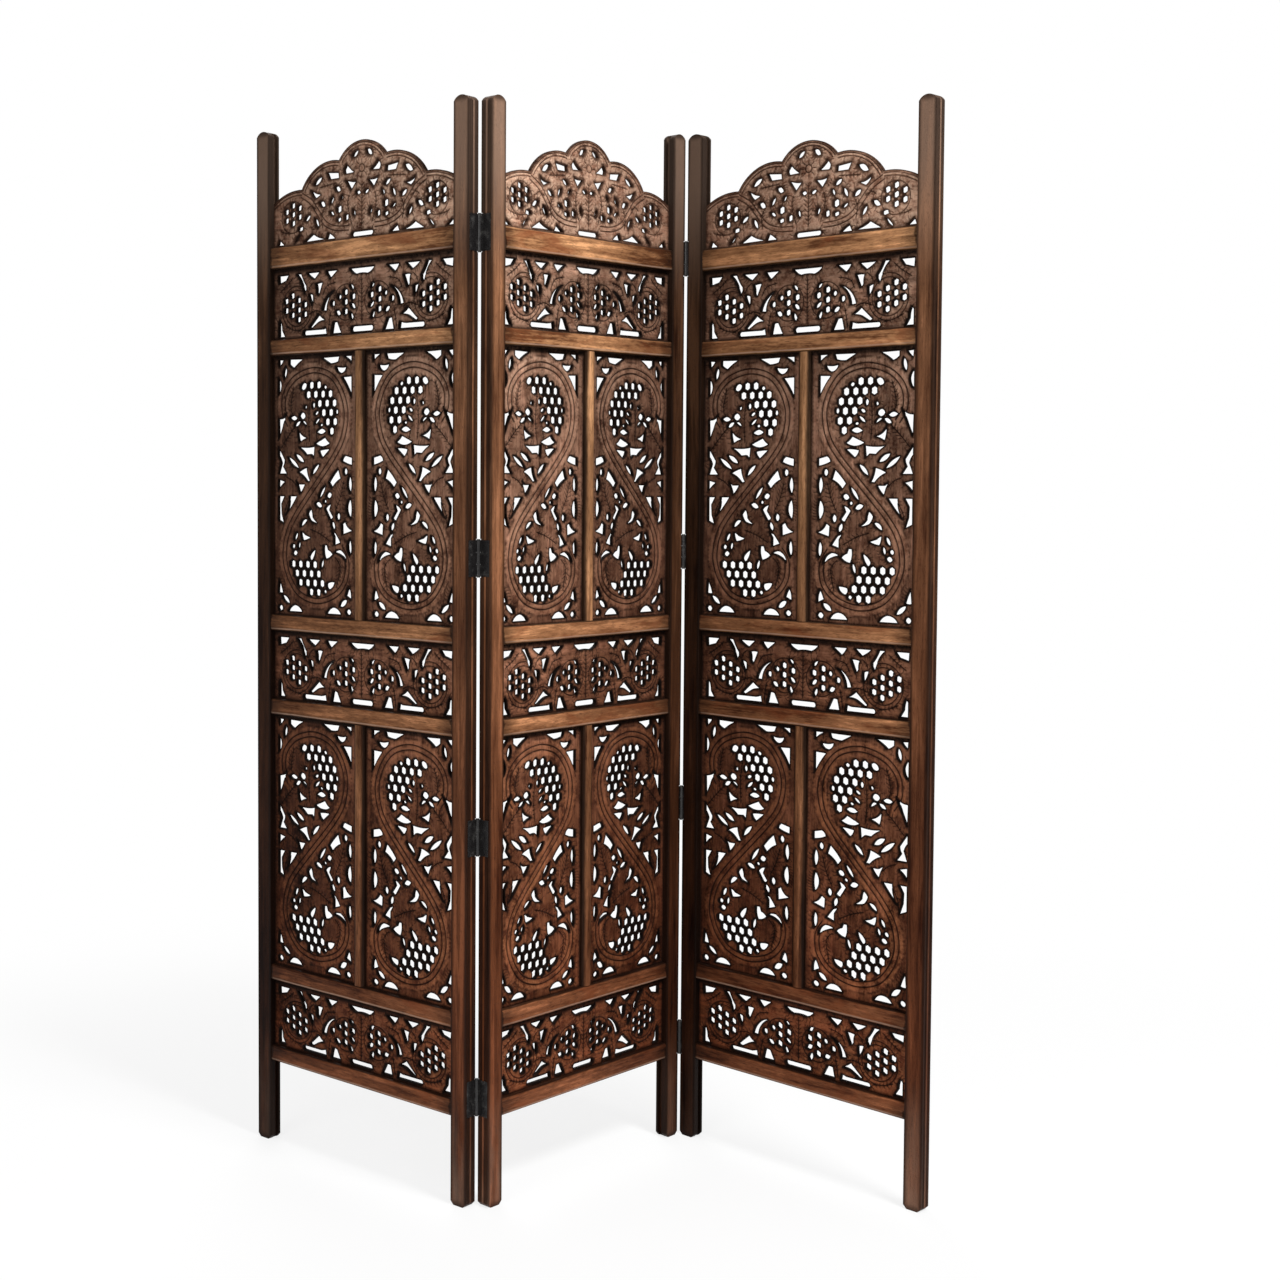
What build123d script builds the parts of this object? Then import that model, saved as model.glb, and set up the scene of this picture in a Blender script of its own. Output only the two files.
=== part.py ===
from build123d import *

import math
import os

# ---------------------------------------------------------------------------
# Three-leaf folding screen of pierced and carved hardwood.  Millimetres, +Z up.
#
# Each leaf is a frame-and-panel door on two tall stiles: six rails and two
# mullions tenoned together, eight pierced panels standing in their grooves.
# Leaves are drawn in their own frame: X along the leaf, Y from front to back,
# Z up from the floor, with the origin at the middle of the foot line.
# ---------------------------------------------------------------------------

# Leaf and its standing pose (plan angles between each leaf and the X axis)
LEAF_WIDTH = 508.0
LEAF_HEIGHT = 1829.0
LEFT_LEAF_TURN = 42.5
MIDDLE_LEAF_TURN = 44.5
RIGHT_LEAF_TURN = 47.0

# Stiles
STILE_WIDTH = 34.0
STILE_THICKNESS = 24.0
STILE_ARRIS = 1.2
STILE_CROWN = 10.5
FOOT_CHAMFER = 7.0
REED_RADIUS = 2.5
REED_DEPTH = 1.4
REED_SPREAD = 5.0

# Rails, from the foot up, and the bays between them
RAIL_HEIGHT = 29.0
TOP_RAIL_HEIGHT = 38.0
RAIL_THICKNESS = 20.0
RAIL_RECESS = 1.5
RAIL_FRONT_ARRIS = 5.0
RAIL_BACK_ARRIS = 2.0
FOOT_CLEARANCE = 147.0
LOW_BAND = 120.0
MIDDLE_BAND = 124.0
HIGH_BAND = 126.0
HEAD_ROOM = 208.0
LATTICE_DIFFERENCE = 7.0

# Mullions that halve the two tall bays
MULLION_WIDTH = 24.0
MULLION_ROUNDING = 5.5

# Grooves and the panels that stand in them
PANEL_THICKNESS = 8.0
PANEL_SETBACK = 11.0
GROOVE_DEPTH = 8.0
GROOVE_CLEARANCE = 0.2
SEASON_GAP = 1.0

# Butt hinges, four on each joint
HINGES_FROM_FOOT = (182.0, 617.0)
HINGES_FROM_HEAD = (751.0, 221.0)
HINGE_LENGTH = 60.0
BARREL_RADIUS = 4.5
BARREL_STANDOFF = 1.8
PIN_RADIUS = 2.2
PIN_CLEARANCE = 0.05
PIN_TIP_RADIUS = 3.2
PIN_TIP_LENGTH = 1.6
KNUCKLE_GAP = 0.4
KNUCKLE_RELIEF = 0.3
PLATE_THICKNESS = 2.0
PLATE_INSET = 2.0
PLATE_CLEARANCE = 0.2
EDGE_GAP = 1.0

# Countersunk screws, three through each hinge plate
SCREW_HEAD_RADIUS = 3.4
SCREW_SHANK_RADIUS = 1.5
SCREW_LENGTH = 15.0
SCREW_SPREAD = 20.0
SCREW_STAGGER = 2.5
SCREW_SLOT_WIDTH = 0.8
SCREW_SLOT_DEPTH = 0.7

# Piercing.  Every outline below is drawn on a window of these sizes.
LATTICE_WINDOW = (208.0, 460.0)
BAND_WINDOW = (440.0, 124.0)
COMB_CELL = (12.5, 15.5)
SMALL_CELL = (11.0, 12.5)

# Crest of five lobes above the top rail
CREST_SHOULDER = 74.5
CREST_OUTER_CUSP = (149.0, 97.5)
CREST_INNER_CUSP = (56.0, 138.5)
CREST_PEAK = 167.0
OUTER_LOBE_BOW = 7.5
INNER_LOBE_BOW = 16.3

# Worked out from the sizes above
CLEAR_WIDTH = LEAF_WIDTH - 2 * STILE_WIDTH
LATTICE_WIDTH = (CLEAR_WIDTH - MULLION_WIDTH) / 2
GROOVE_WIDTH = PANEL_THICKNESS + 2 * GROOVE_CLEARANCE
PANEL_TONGUE = GROOVE_DEPTH - SEASON_GAP
FRONT = -STILE_THICKNESS / 2
BACK = STILE_THICKNESS / 2
PANEL_FRONT = FRONT + PANEL_SETBACK
GROOVE_CENTRE = PANEL_FRONT + PANEL_THICKNESS / 2
RAIL_FRONT = FRONT + RAIL_RECESS
RAIL_BACK = RAIL_FRONT + RAIL_THICKNESS
MORTISE_DEPTH = PLATE_THICKNESS + PLATE_CLEARANCE - EDGE_GAP
HINGE_X = LEAF_WIDTH / 2 + EDGE_GAP
HINGE_Y = STILE_THICKNESS / 2 + BARREL_STANDOFF
KNUCKLE_LENGTH = (HINGE_LENGTH - 2 * KNUCKLE_GAP) / 3

HINGE_HEIGHTS = HINGES_FROM_FOOT + tuple(LEAF_HEIGHT - drop for drop in HINGES_FROM_HEAD)
RAILS_AND_BANDS = 5 * RAIL_HEIGHT + TOP_RAIL_HEIGHT + LOW_BAND + MIDDLE_BAND + HIGH_BAND
BOTH_LATTICES = LEAF_HEIGHT - FOOT_CLEARANCE - HEAD_ROOM - RAILS_AND_BANDS
LOW_LATTICE = (BOTH_LATTICES - LATTICE_DIFFERENCE) / 2
HIGH_LATTICE = (BOTH_LATTICES + LATTICE_DIFFERENCE) / 2
BAYS = (LOW_BAND, LOW_LATTICE, MIDDLE_BAND, HIGH_LATTICE, HIGH_BAND)
RAIL_NAMES = (
    "bottom_rail",
    "lower_rail",
    "lower_middle_rail",
    "upper_middle_rail",
    "upper_rail",
    "top_rail",
)

# ---------------------------------------------------------------------------
# Piercing outlines: corners in order, anticlockwise, each (across, up, bow),
# where bow is how far the side that follows bulges out (in, if negative).
# ---------------------------------------------------------------------------

# Right-hand lattice panel, measured from the middle of its window
LATTICE_HOLES = (
    # head: corners, the gaps over the ribbon and the sides of the upper bulb
    ((-90, 211, -1), (-73, 223, 0), (-90, 223, 0)),
    ((-60, 223, 0), (-57, 215, 1), (-36, 212.5, 0), (-17, 222.5, 0)),
    ((-77, 205, 11), (-52, 206, -2)),
    ((-90, 152, -1.5), (-67, 187, 0), (-90, 188, 0)),
    ((32, 222, -1), (54, 208, 1), (67, 215, 0), (67, 223, 0)),
    ((82, 222, 1), (93, 211, 0), (94, 223, 0)),
    ((75, 212, 4.5), (80, 189, 4)),
    ((95, 192, 8), (95, 160, 0)),
    # leaf spray inside the upper bulb
    ((-29, 171, 3.5), (-19, 172, 3.5)),
    ((22, 178, 6), (38, 171, 6)),
    ((5, 147, 4), (5, 135, 4)),
    ((22, 140, 3), (28, 136, 3)),
    ((-57, 128, 4.5), (-49, 128, 4.5)),
    ((-8, 129, 3), (3, 125, 3)),
    ((-11, 118, 3), (3, 108, 3)),
    ((-19, 106, 2.5), (-10, 106, 2.5)),
    ((-26, 95, 4), (-3, 94, 5)),
    ((25, 122, 5.5), (41, 123, 6.5)),
    ((46, 119, 4), (66, 120, 4)),
    ((38, 113, 4), (54, 106, 3.5)),
    ((22, 106, 1), (35, 113, 4)),
    ((23, 84, -1), (40, 76, 1.5), (44, 100, -3)),
    ((73, 129, 0), (94, 82, 0), (95, 118, -3)),
    # between the ribbon and the mullion-side leaf, going down
    ((-36, 74, 5), (1, 74, 0), (-24, 85, -1)),
    ((-35, 63, 0), (-18, 49, 1.5), (-9, 61, 1)),
    ((2, 69, 0), (4, 49, 0), (12, 56, 0), (24, 55, -1), (42, 68, -2)),
    ((29, 42, 4.5), (52, 55, 4.5)),
    ((42, 31, 4.5), (71, 51, 4)),
    ((95, 69, 0), (79, 46, 1), (83, 34, 0), (74, 22, 0), (95, 22, 0), (88, 40, -1), (95, 53, 0)),
    ((-10, 38, 3.5), (10, 19, 5)),
    ((22, 32, -1.5), (14, 9, 0), (22, 8, -2), (44, 24, 1)),
    ((27, 2, 1), (40, -14, 0), (44, -2, 0), (49, 8, 0), (40, 2, 0)),
    ((48, -19, 1), (77, -53, -3.5), (67, -19, 0)),
    ((79, 7, -1.5), (95, -9, 0), (95, 11, 0)),
    ((80, -19, 0), (88, -32, 0), (87, -50, 0), (81, -67, 0), (95, -61, 0), (95, -19, 0)),
    # between the stile-side leaf and the ribbon, going down
    ((-91, 36, 1), (-66, 43, 2), (-74, 52, 0), (-91, 48, 0)),
    ((-75, 31, 5), (-75, 18.5, 5)),
    ((-57, 30, 0), (-63, 13, -2), (-42, -4, 0), (-34, 6, 1)),
    ((-86, 19, 4), (-87, -13, 6)),
    ((-26, 1, 3.5), (-8, -23, 4)),
    ((-41, -15, 5), (-27, -18, 5)),
    ((-28, -27, 3), (-20, -27, 3)),
    ((-17, -36, 4), (1, -31, 5)),
    ((-87, -21, 3), (-88, -56, 9)),
    ((-39, -32, 0), (-35, -42, 0), (-44, -54, 2), (-35, -57, 0), (-24, -40, 2)),
    ((-57, -46, 5), (-57, -60, 5)),
    ((11, -40, 1), (7, -55, -1), (-5, -65, 1), (13, -61, 1), (20, -49, 1)),
    ((21, -60, 2), (38, -72, 6)),
    ((-74, -61, -3), (-91, -77, 0), (-67, -84, 0), (-66, -66, 0)),
    ((-41, -61, 4.5), (-48, -76, 4.5)),
    ((13, -91, 1), (33, -96, 1), (37, -81, 1), (26, -87, 0)),
    # leaf spray inside the lower bulb
    ((45, -82, 3.5), (54, -97, 4)),
    ((40, -98, 3.5), (44, -112, 3.5)),
    ((52, -106, 4), (62, -108, 4)),
    ((-51, -83, 0), (-63, -98, 0), (-47, -103, 0), (-47, -88, 0), (-41, -79, 0)),
    ((-86, -91, 3.5), (-87, -121, 6)),
    ((-78, -130, -2.5), (-48, -115, 10)),
    ((-29, -104, 0), (-32, -112, 1), (-43, -119, 2), (-24, -127, 2), (-21, -104, 0)),
    ((0, -111, 2), (9, -131, 3), (16, -124, 2)),
    ((46, -118, 4.5), (59, -120, 4.5)),
    ((-20, -127, 3.5), (-14, -146, 4)),
    ((-48, -168, 3), (-34, -181, 3), (-29, -170, 1)),
    ((-29, -185, 3.5), (-19, -185, 3.5)),
    # foot: corners and the gaps under the ribbon
    ((-84, -174, 2), (-89, -196, 0), (-76, -190, 1)),
    ((-79, -198, 5), (-60, -209, 5)),
    ((-89, -218, 5), (-76, -218, 5)),
    ((-64, -223, 0), (-28, -223, 11)),
    ((34, -223, 0), (70, -223, 11)),
    ((66, -209, 4.5), (86, -195, 4.5)),
    ((94, -167, 1), (84, -190, 1), (96, -190, 0)),
    ((84, -218, 5), (96, -218, 5)),
)

# Cross-band panel: the middle slots, then the right half, which is mirrored
BAND_MIDDLE_HOLES = (
    ((-22, -57, 0), (22, -57, 4.5), (22, -48, 0), (-22, -48, 4.5)),
    ((-30, 50, 1.5), (-14, 40, -1.5), (14, 40, 1.5), (30, 50, 0)),
)
BAND_SIDE_HOLES = (
    # leaves round the inner comb
    ((20, 15, 3), (30, 23, 3)),
    ((16, -17, 4), (29, -9, 4)),
    ((23, -37, 4), (29, -23, 4)),
    ((52, -26, 4), (65, -20, 4.5)),
    ((50, 4, 4.5), (60, 4, 4.5)),
    ((66.5, -6, 5), (76.5, -6, 5)),
    # arch, scrolls and spandrels
    ((67, 16, -5), (87, -17, 0), (98, -16, 6.5)),
    ((51, -57, 0), (75, -57, 0), (71, -39, 1), (60, -39, 0)),
    ((97, 31, 0), (106, 10, 1), (112, 16, -1), (114, 30, 1)),
    ((121, 11, 1), (123, -6, 1), (132, 13, 1)),
    ((104, 50, 0), (117, 38.5, 1), (136, 50, 0)),
    ((60, 50, 0), (77, 37, 1), (88, 50, 0)),
    ((151, 50, -1), (138, 28, 1), (142, 15, 1), (148, 28, -2), (163, 50, 0)),
    ((183, 50, 0), (190, 41, 0), (209, 36, 0), (210, 50, 0)),
    ((204, -28, 1), (200, -46, 0), (193, -57, 0), (209, -57, 0), (209, -33, 1)),
    ((92, -33, -1), (108, -36, 0), (123, -45, 1), (130, -43, 0), (107, -22, -1)),
    ((87, -57, 0), (142, -57, 4), (142, -49, 0), (99, -49, 0), (89, -46, 0)),
)

# Crest: the middle slot, then the right half, measured up from the top rail
CREST_MIDDLE_HOLES = (
    ((-22, 4, 0), (22, 4, 4), (22, 12, 0), (-22, 12, 4)),
)
CREST_SIDE_HOLES = (
    # slots along the rail
    ((66, 5, 0), (88, 5, 0), (83, 16, 1)),
    ((93, 6, 0), (144, 5, 0), (122, 18, -2)),
    ((168, 5, 2), (153, 20, 3)),
    ((195, 4, 0), (212, 4, 0), (208, 15, 0)),
    # leaf fan over the middle
    ((17, 38, 4), (22, 52, 3)),
    ((4, 77, 3.5), (16, 80, 3.5)),
    ((46, 79, 3), (53, 68, 3.5)),
    ((69, 79, 4), (79, 63, 4)),
    ((68, 46, 3), (80, 52, 3)),
    ((90, 63, 4.5), (105, 71, 5)),
    ((117, 45, 4), (106, 28, 4.5)),
    ((143, 42, 4), (127, 51, 4.5)),
    # gaps under the scalloped rim
    ((14, 98, 0), (27, 83, 0), (40, 102, -2)),
    ((52, 86, 4.5), (67, 93, 4.5)),
    ((101, 84, 0), (114, 78, 2), (126, 94, 0), (116, 88, -1)),
    ((56, 108, 0), (80, 108, 0), (86, 120, 0), (57, 117, 0)),
    ((98, 114, 5), (119, 102, 5)),
    ((20, 114, 0), (41, 113, 1), (44, 121, 0), (38, 130, -1)),
    ((9, 150, 4.5), (24, 140, 4.5)),
)
CREST_SINGLE_CELLS = (
    ((56.0, 54.5), (12.0, 15.0)),
    ((56.5, 36.5), (11.0, 8.5)),
    ((38.0, 39.0), (10.0, 13.0)),
    ((152.5, 29.0), (12.0, 9.0)),
)

# Combs: the first cell, the step along a row, the step to the next row, and
# for each row the half steps to its first cell and its number of cells
UPPER_COMB = (
    (1.5, 176.0),
    (18.4, 0.0),
    (-0.9, -16.2),
    ((-1, 2), (-4, 4), (-5, 3), (-4, 2), (-5, 2), (-4, 1)),
)
LOWER_COMB = ((2.5, -138.5), (18.4, 0.0), (0.0, -16.2), ((0, 4), (-1, 4), (-2, 4), (-1, 2)))
BAND_INNER_COMB = ((22.0, 3.0), (0.0, -16.5), (18.5, 0.0), ((0, 1), (-1, 3)))
BAND_OUTER_COMB = ((142.0, -3.5), (0.0, -16.8), (16.0, 0.0), ((0, 2), (-1, 3), (-2, 3), (-1, 2)))
CREST_COMB = ((156.0, 66.0), (0.0, -15.5), (16.4, -2.0), ((0, 2), (-1, 3), (0, 2)))


def side_of_outline(start, end, bow):
    """One side of an outline, straight or an arc that bulges by bow."""
    if bow == 0:
        return Line(start, end)
    run = (end[0] - start[0], end[1] - start[1])
    length = math.hypot(*run)
    middle = ((start[0] + end[0]) / 2, (start[1] + end[1]) / 2)
    top = (middle[0] + run[1] / length * bow, middle[1] - run[0] / length * bow)
    return ThreePointArc(start, top, end)


def outline_wire(corners, scale=(1.0, 1.0)):
    """Closed wire through (across, up, bow) corners, stretched to its window."""
    points = [(across * scale[0], up * scale[1]) for across, up, bow in corners]
    sides = []
    for index, (across, up, bow) in enumerate(corners):
        sides.append(side_of_outline(points[index], points[(index + 1) % len(points)], bow))
    return Wire(sides)


def cell_wire(centre, size, scale=(1.0, 1.0)):
    """Six-sided comb cell standing on its point."""
    half_width = size[0] / 2
    half_height = size[1] / 2
    shape = (
        (half_width, -half_height / 2, 0),
        (half_width, half_height / 2, 0),
        (0, half_height, 0),
        (-half_width, half_height / 2, 0),
        (-half_width, -half_height / 2, 0),
        (0, -half_height, 0),
    )
    corners = [(centre[0] + across, centre[1] + up, bow) for across, up, bow in shape]
    return outline_wire(corners, scale)


def comb_wires(comb, size, scale=(1.0, 1.0)):
    """Staggered rows of comb cells."""
    first_cell, along, onward, rows = comb
    wires = []
    for row, (half_steps, count) in enumerate(rows):
        for index in range(count):
            steps = half_steps / 2 + index
            across = first_cell[0] + steps * along[0] + row * onward[0]
            up = first_cell[1] + steps * along[1] + row * onward[1]
            wires.append(cell_wire((across, up), size, scale))
    return wires


def mirrored(wires):
    """The same wires on the other side of the panel's middle line."""
    return [wire.mirror(Plane.YZ) for wire in wires]


def upright_plate(outer, holes):
    """Pierced plate standing in the groove plane, from a drawing in X and Y."""
    plate = extrude(Face(outer, holes), PANEL_THICKNESS)
    return Pos(0, PANEL_FRONT + PANEL_THICKNESS, 0) * Rot(90, 0, 0) * plate


def panel_outer(window_width, window_height):
    """Panel edge: on the groove floor below, with room to move at sides and top."""
    half_width = window_width / 2 + PANEL_TONGUE
    low = -window_height / 2 - GROOVE_DEPTH
    high = window_height / 2 + PANEL_TONGUE
    corners = (
        (-half_width, low, 0),
        (half_width, low, 0),
        (half_width, high, 0),
        (-half_width, high, 0),
    )
    return outline_wire(corners)


def lattice_panel(window_height, hand):
    """Tall panel with its S-shaped ribbon; hand is 1 on the right, -1 on the left."""
    scale = (LATTICE_WIDTH / LATTICE_WINDOW[0], window_height / LATTICE_WINDOW[1])
    holes = [outline_wire(corners, scale) for corners in LATTICE_HOLES]
    holes += comb_wires(UPPER_COMB, COMB_CELL, scale)
    holes += comb_wires(LOWER_COMB, COMB_CELL, scale)
    if hand < 0:
        holes = mirrored(holes)
    return upright_plate(panel_outer(LATTICE_WIDTH, window_height), holes)


def band_panel(window_height):
    """Low panel right across the leaf, alike on both sides of its middle."""
    scale = (CLEAR_WIDTH / BAND_WINDOW[0], window_height / BAND_WINDOW[1])
    side = [outline_wire(corners, scale) for corners in BAND_SIDE_HOLES]
    side += comb_wires(BAND_INNER_COMB, SMALL_CELL, scale)
    side += comb_wires(BAND_OUTER_COMB, SMALL_CELL, scale)
    middle = [outline_wire(corners, scale) for corners in BAND_MIDDLE_HOLES]
    return upright_plate(panel_outer(CLEAR_WIDTH, window_height), middle + side + mirrored(side))


def crest_outer():
    """Five lobes between the stiles, the middle one highest."""
    half_width = CLEAR_WIDTH / 2 + PANEL_TONGUE
    outer_across, outer_up = CREST_OUTER_CUSP
    inner_across, inner_up = CREST_INNER_CUSP
    middle_lobe = ThreePointArc((inner_across, inner_up), (0, CREST_PEAK), (-inner_across, inner_up))
    right = [
        side_of_outline((half_width, -GROOVE_DEPTH), (half_width, CREST_SHOULDER), 0),
        side_of_outline((half_width, CREST_SHOULDER), (outer_across, outer_up), OUTER_LOBE_BOW),
        side_of_outline((outer_across, outer_up), (inner_across, inner_up), INNER_LOBE_BOW),
    ]
    left = [edge.mirror(Plane.YZ) for edge in right]
    bottom = Line((-half_width, -GROOVE_DEPTH), (half_width, -GROOVE_DEPTH))
    return Wire([bottom, *right, middle_lobe, *left])


def crest_panel():
    """Scalloped crest standing in the groove of the top rail."""
    scale = (CLEAR_WIDTH / BAND_WINDOW[0], 1.0)
    side = [outline_wire(corners, scale) for corners in CREST_SIDE_HOLES]
    side += [cell_wire(centre, size, scale) for centre, size in CREST_SINGLE_CELLS]
    side += comb_wires(CREST_COMB, SMALL_CELL, scale)
    middle = [outline_wire(corners, scale) for corners in CREST_MIDDLE_HOLES]
    return upright_plate(crest_outer(), middle + side + mirrored(side))


def rail(height, low_groove):
    """Rail with its rounded front, panel grooves and a stub tenon at each end."""
    centre = (RAIL_FRONT + RAIL_BACK) / 2
    section = Pos(centre, height / 2) * Rectangle(RAIL_THICKNESS, height)
    front_corners = section.vertices().filter_by_position(Axis.X, RAIL_FRONT, RAIL_FRONT)
    section = fillet(front_corners, RAIL_FRONT_ARRIS)
    back_corners = section.vertices().filter_by_position(Axis.X, RAIL_BACK, RAIL_BACK)
    section = fillet(back_corners, RAIL_BACK_ARRIS)
    section -= Pos(GROOVE_CENTRE, height - GROOVE_DEPTH / 2) * Rectangle(GROOVE_WIDTH, GROOVE_DEPTH)
    if low_groove:
        section -= Pos(GROOVE_CENTRE, GROOVE_DEPTH / 2) * Rectangle(GROOVE_WIDTH, GROOVE_DEPTH)
    along_leaf = Plane(origin=(-CLEAR_WIDTH / 2, 0, 0), x_dir=(0, 1, 0), z_dir=(1, 0, 0))
    body = extrude(along_leaf * section, CLEAR_WIDTH)
    over_tenons = CLEAR_WIDTH + 2 * GROOVE_DEPTH
    tenons = Box(over_tenons, GROOVE_WIDTH, height - 2 * GROOVE_DEPTH)
    return body + Pos(0, GROOVE_CENTRE, height / 2) * tenons


def mullion(height):
    """Upright between two lattice panels, round-fronted, tenoned into both rails."""
    half_width = MULLION_WIDTH / 2
    shoulder = RAIL_FRONT + MULLION_ROUNDING
    section = make_face([
        ThreePointArc((-half_width, shoulder), (0, RAIL_FRONT), (half_width, shoulder)),
        Polyline(
            (half_width, shoulder),
            (half_width, RAIL_BACK),
            (-half_width, RAIL_BACK),
            (-half_width, shoulder),
        ),
    ])
    for side in (-1, 1):
        groove_across = side * (half_width - GROOVE_DEPTH / 2)
        section -= Pos(groove_across, GROOVE_CENTRE) * Rectangle(GROOVE_DEPTH, GROOVE_WIDTH)
    over_tenons = height + 2 * GROOVE_DEPTH
    tenons = Box(MULLION_WIDTH - 2 * GROOVE_DEPTH, GROOVE_WIDTH, over_tenons)
    return extrude(section, height) + Pos(0, GROOVE_CENTRE, height / 2) * tenons


def stile_blank():
    """Right-hand stile before its hinges: grooved inside, reeded outside, crowned."""
    middle = (LEAF_WIDTH - STILE_WIDTH) / 2
    section = Pos(middle, 0) * RectangleRounded(STILE_WIDTH, STILE_THICKNESS, STILE_ARRIS)
    groove_across = CLEAR_WIDTH / 2 + GROOVE_DEPTH / 2
    section -= Pos(groove_across, GROOVE_CENTRE) * Rectangle(GROOVE_DEPTH, GROOVE_WIDTH)
    reed_centre = LEAF_WIDTH / 2 + REED_RADIUS - REED_DEPTH
    for depth in (-REED_SPREAD, REED_SPREAD):
        section -= Pos(reed_centre, depth) * Circle(REED_RADIUS)
    inner = CLEAR_WIDTH / 2
    outer = LEAF_WIDTH / 2
    shoulder = LEAF_HEIGHT - STILE_CROWN
    front_view = make_face([
        Polyline(
            (inner, shoulder),
            (inner, FOOT_CHAMFER),
            (inner + FOOT_CHAMFER, 0),
            (outer - FOOT_CHAMFER, 0),
            (outer, FOOT_CHAMFER),
            (outer, shoulder),
        ),
        ThreePointArc((outer, shoulder), (middle, LEAF_HEIGHT), (inner, shoulder)),
    ])
    outline = Pos(0, STILE_THICKNESS / 2, 0) * Rot(90, 0, 0) * extrude(front_view, STILE_THICKNESS)
    return extrude(section, LEAF_HEIGHT) & outline


def screw_head():
    """Countersunk head through a plate, its face on X = 0."""
    head = Cone(
        SCREW_SHANK_RADIUS, SCREW_HEAD_RADIUS, PLATE_THICKNESS, align=(Align.CENTER, Align.CENTER, Align.MAX)
    )
    return Rot(0, 90, 0) * head


def screw_shank():
    """Plain shank from X = 0 towards -X."""
    shank = Cylinder(SCREW_SHANK_RADIUS, SCREW_LENGTH, align=(Align.CENTER, Align.CENTER, Align.MAX))
    return Rot(0, 90, 0) * shank


def hinge_screw():
    """Slotted countersunk screw, its head face on X = 0 and its point towards -X."""
    slot = Box(2 * SCREW_SLOT_DEPTH, SCREW_SLOT_WIDTH, 2 * SCREW_HEAD_RADIUS)
    return screw_head() + screw_shank() - slot


def screw_places():
    """Where each screw of one hinge plate starts, from the hinge's middle."""
    face = -PLATE_CLEARANCE
    plate_middle = -HINGE_Y
    return [
        Pos(face, plate_middle + SCREW_STAGGER, -SCREW_SPREAD),
        Pos(face, plate_middle - SCREW_STAGGER, 0),
        Pos(face, plate_middle + SCREW_STAGGER, SCREW_SPREAD),
    ]


def knuckle_span(index):
    """Lowest and highest Z of one of the three knuckles, from the hinge's middle."""
    low = -HINGE_LENGTH / 2 + index * (KNUCKLE_LENGTH + KNUCKLE_GAP)
    return low, low + KNUCKLE_LENGTH


def hinge_plate(knuckles, bore_radius):
    """Plate on the -X side of its pin line, with the knuckles numbered in knuckles."""
    reach = HINGE_Y - FRONT - PLATE_INSET
    relief = BARREL_RADIUS + KNUCKLE_RELIEF
    plate_middle = -PLATE_CLEARANCE - PLATE_THICKNESS / 2
    plate = Box(PLATE_THICKNESS, reach - relief, HINGE_LENGTH)
    plate = Pos(plate_middle, -(reach + relief) / 2, 0) * plate
    for index in knuckles:
        low, high = knuckle_span(index)
        centre = (low + high) / 2
        plate += Pos(plate_middle, -relief / 2, centre) * Box(PLATE_THICKNESS, relief, KNUCKLE_LENGTH)
        plate += Pos(0, 0, centre) * Cylinder(BARREL_RADIUS, KNUCKLE_LENGTH)
    plate -= Cylinder(bore_radius, HINGE_LENGTH)
    for place in screw_places():
        plate -= place * screw_head()
    return plate


def hinge_pin():
    """Pin with a button at each end of the barrel."""
    pin = Cylinder(PIN_RADIUS, HINGE_LENGTH + 2 * PIN_TIP_LENGTH)
    for side in (-1, 1):
        button = Cylinder(PIN_TIP_RADIUS, PIN_TIP_LENGTH)
        button = fillet(button.edges().sort_by(Axis.Z)[-1], PIN_TIP_LENGTH / 2)
        height = HINGE_LENGTH / 2 + PIN_TIP_LENGTH / 2
        turn = Rot(0, 0, 0) if side > 0 else Rot(180, 0, 0)
        pin += Pos(0, 0, side * height) * turn * button
    return pin


def hinged_edge(shape, hand, face):
    """Puts a shape drawn at a pin line with the leaf on -X to one edge of a leaf.

    hand is 1 for the leaf's right edge and -1 for its left; face is 1 where the
    barrel stands behind the leaf and -1 where it stands in front.
    """
    if hand < 0:
        shape = shape.mirror(Plane.YZ)
    if face < 0:
        shape = shape.mirror(Plane.XZ)
    return Pos(hand * HINGE_X, face * HINGE_Y, 0) * shape


def hinge_set(shape, hand, face):
    """The same hinge shape at every hinge height of one edge."""
    placed = hinged_edge(shape, hand, face)
    return [Pos(0, 0, height) * placed for height in HINGE_HEIGHTS]


def mortised_stile(hand, face):
    """Stile cut for its plates, barrels and screws; face is 0 for a free edge."""
    stile = stile_blank()
    if hand < 0:
        stile = stile.mirror(Plane.YZ)
    if face == 0:
        return stile
    reach = HINGE_Y - FRONT - PLATE_INSET
    recess_depth = MORTISE_DEPTH + EDGE_GAP
    recess = Pos(-recess_depth / 2, -reach / 2, 0) * Box(recess_depth, reach, HINGE_LENGTH)
    cove_length = HINGE_LENGTH + 2 * (PIN_TIP_LENGTH + KNUCKLE_GAP)
    recess += Cylinder(BARREL_RADIUS + KNUCKLE_RELIEF, cove_length)
    cutters = hinge_set(recess, hand, face)
    for place in screw_places():
        cutters += hinge_set(place * screw_shank(), hand, face)
    for cutter in cutters:
        stile -= cutter
    return stile


def rail_levels():
    """Bottom of each rail above the floor."""
    levels = [FOOT_CLEARANCE]
    for bay in BAYS:
        levels.append(levels[-1] + RAIL_HEIGHT + bay)
    return levels


def bay_middles():
    """Middle height of each bay between two rails."""
    return [level + RAIL_HEIGHT + bay / 2 for level, bay in zip(rail_levels(), BAYS)]


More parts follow.
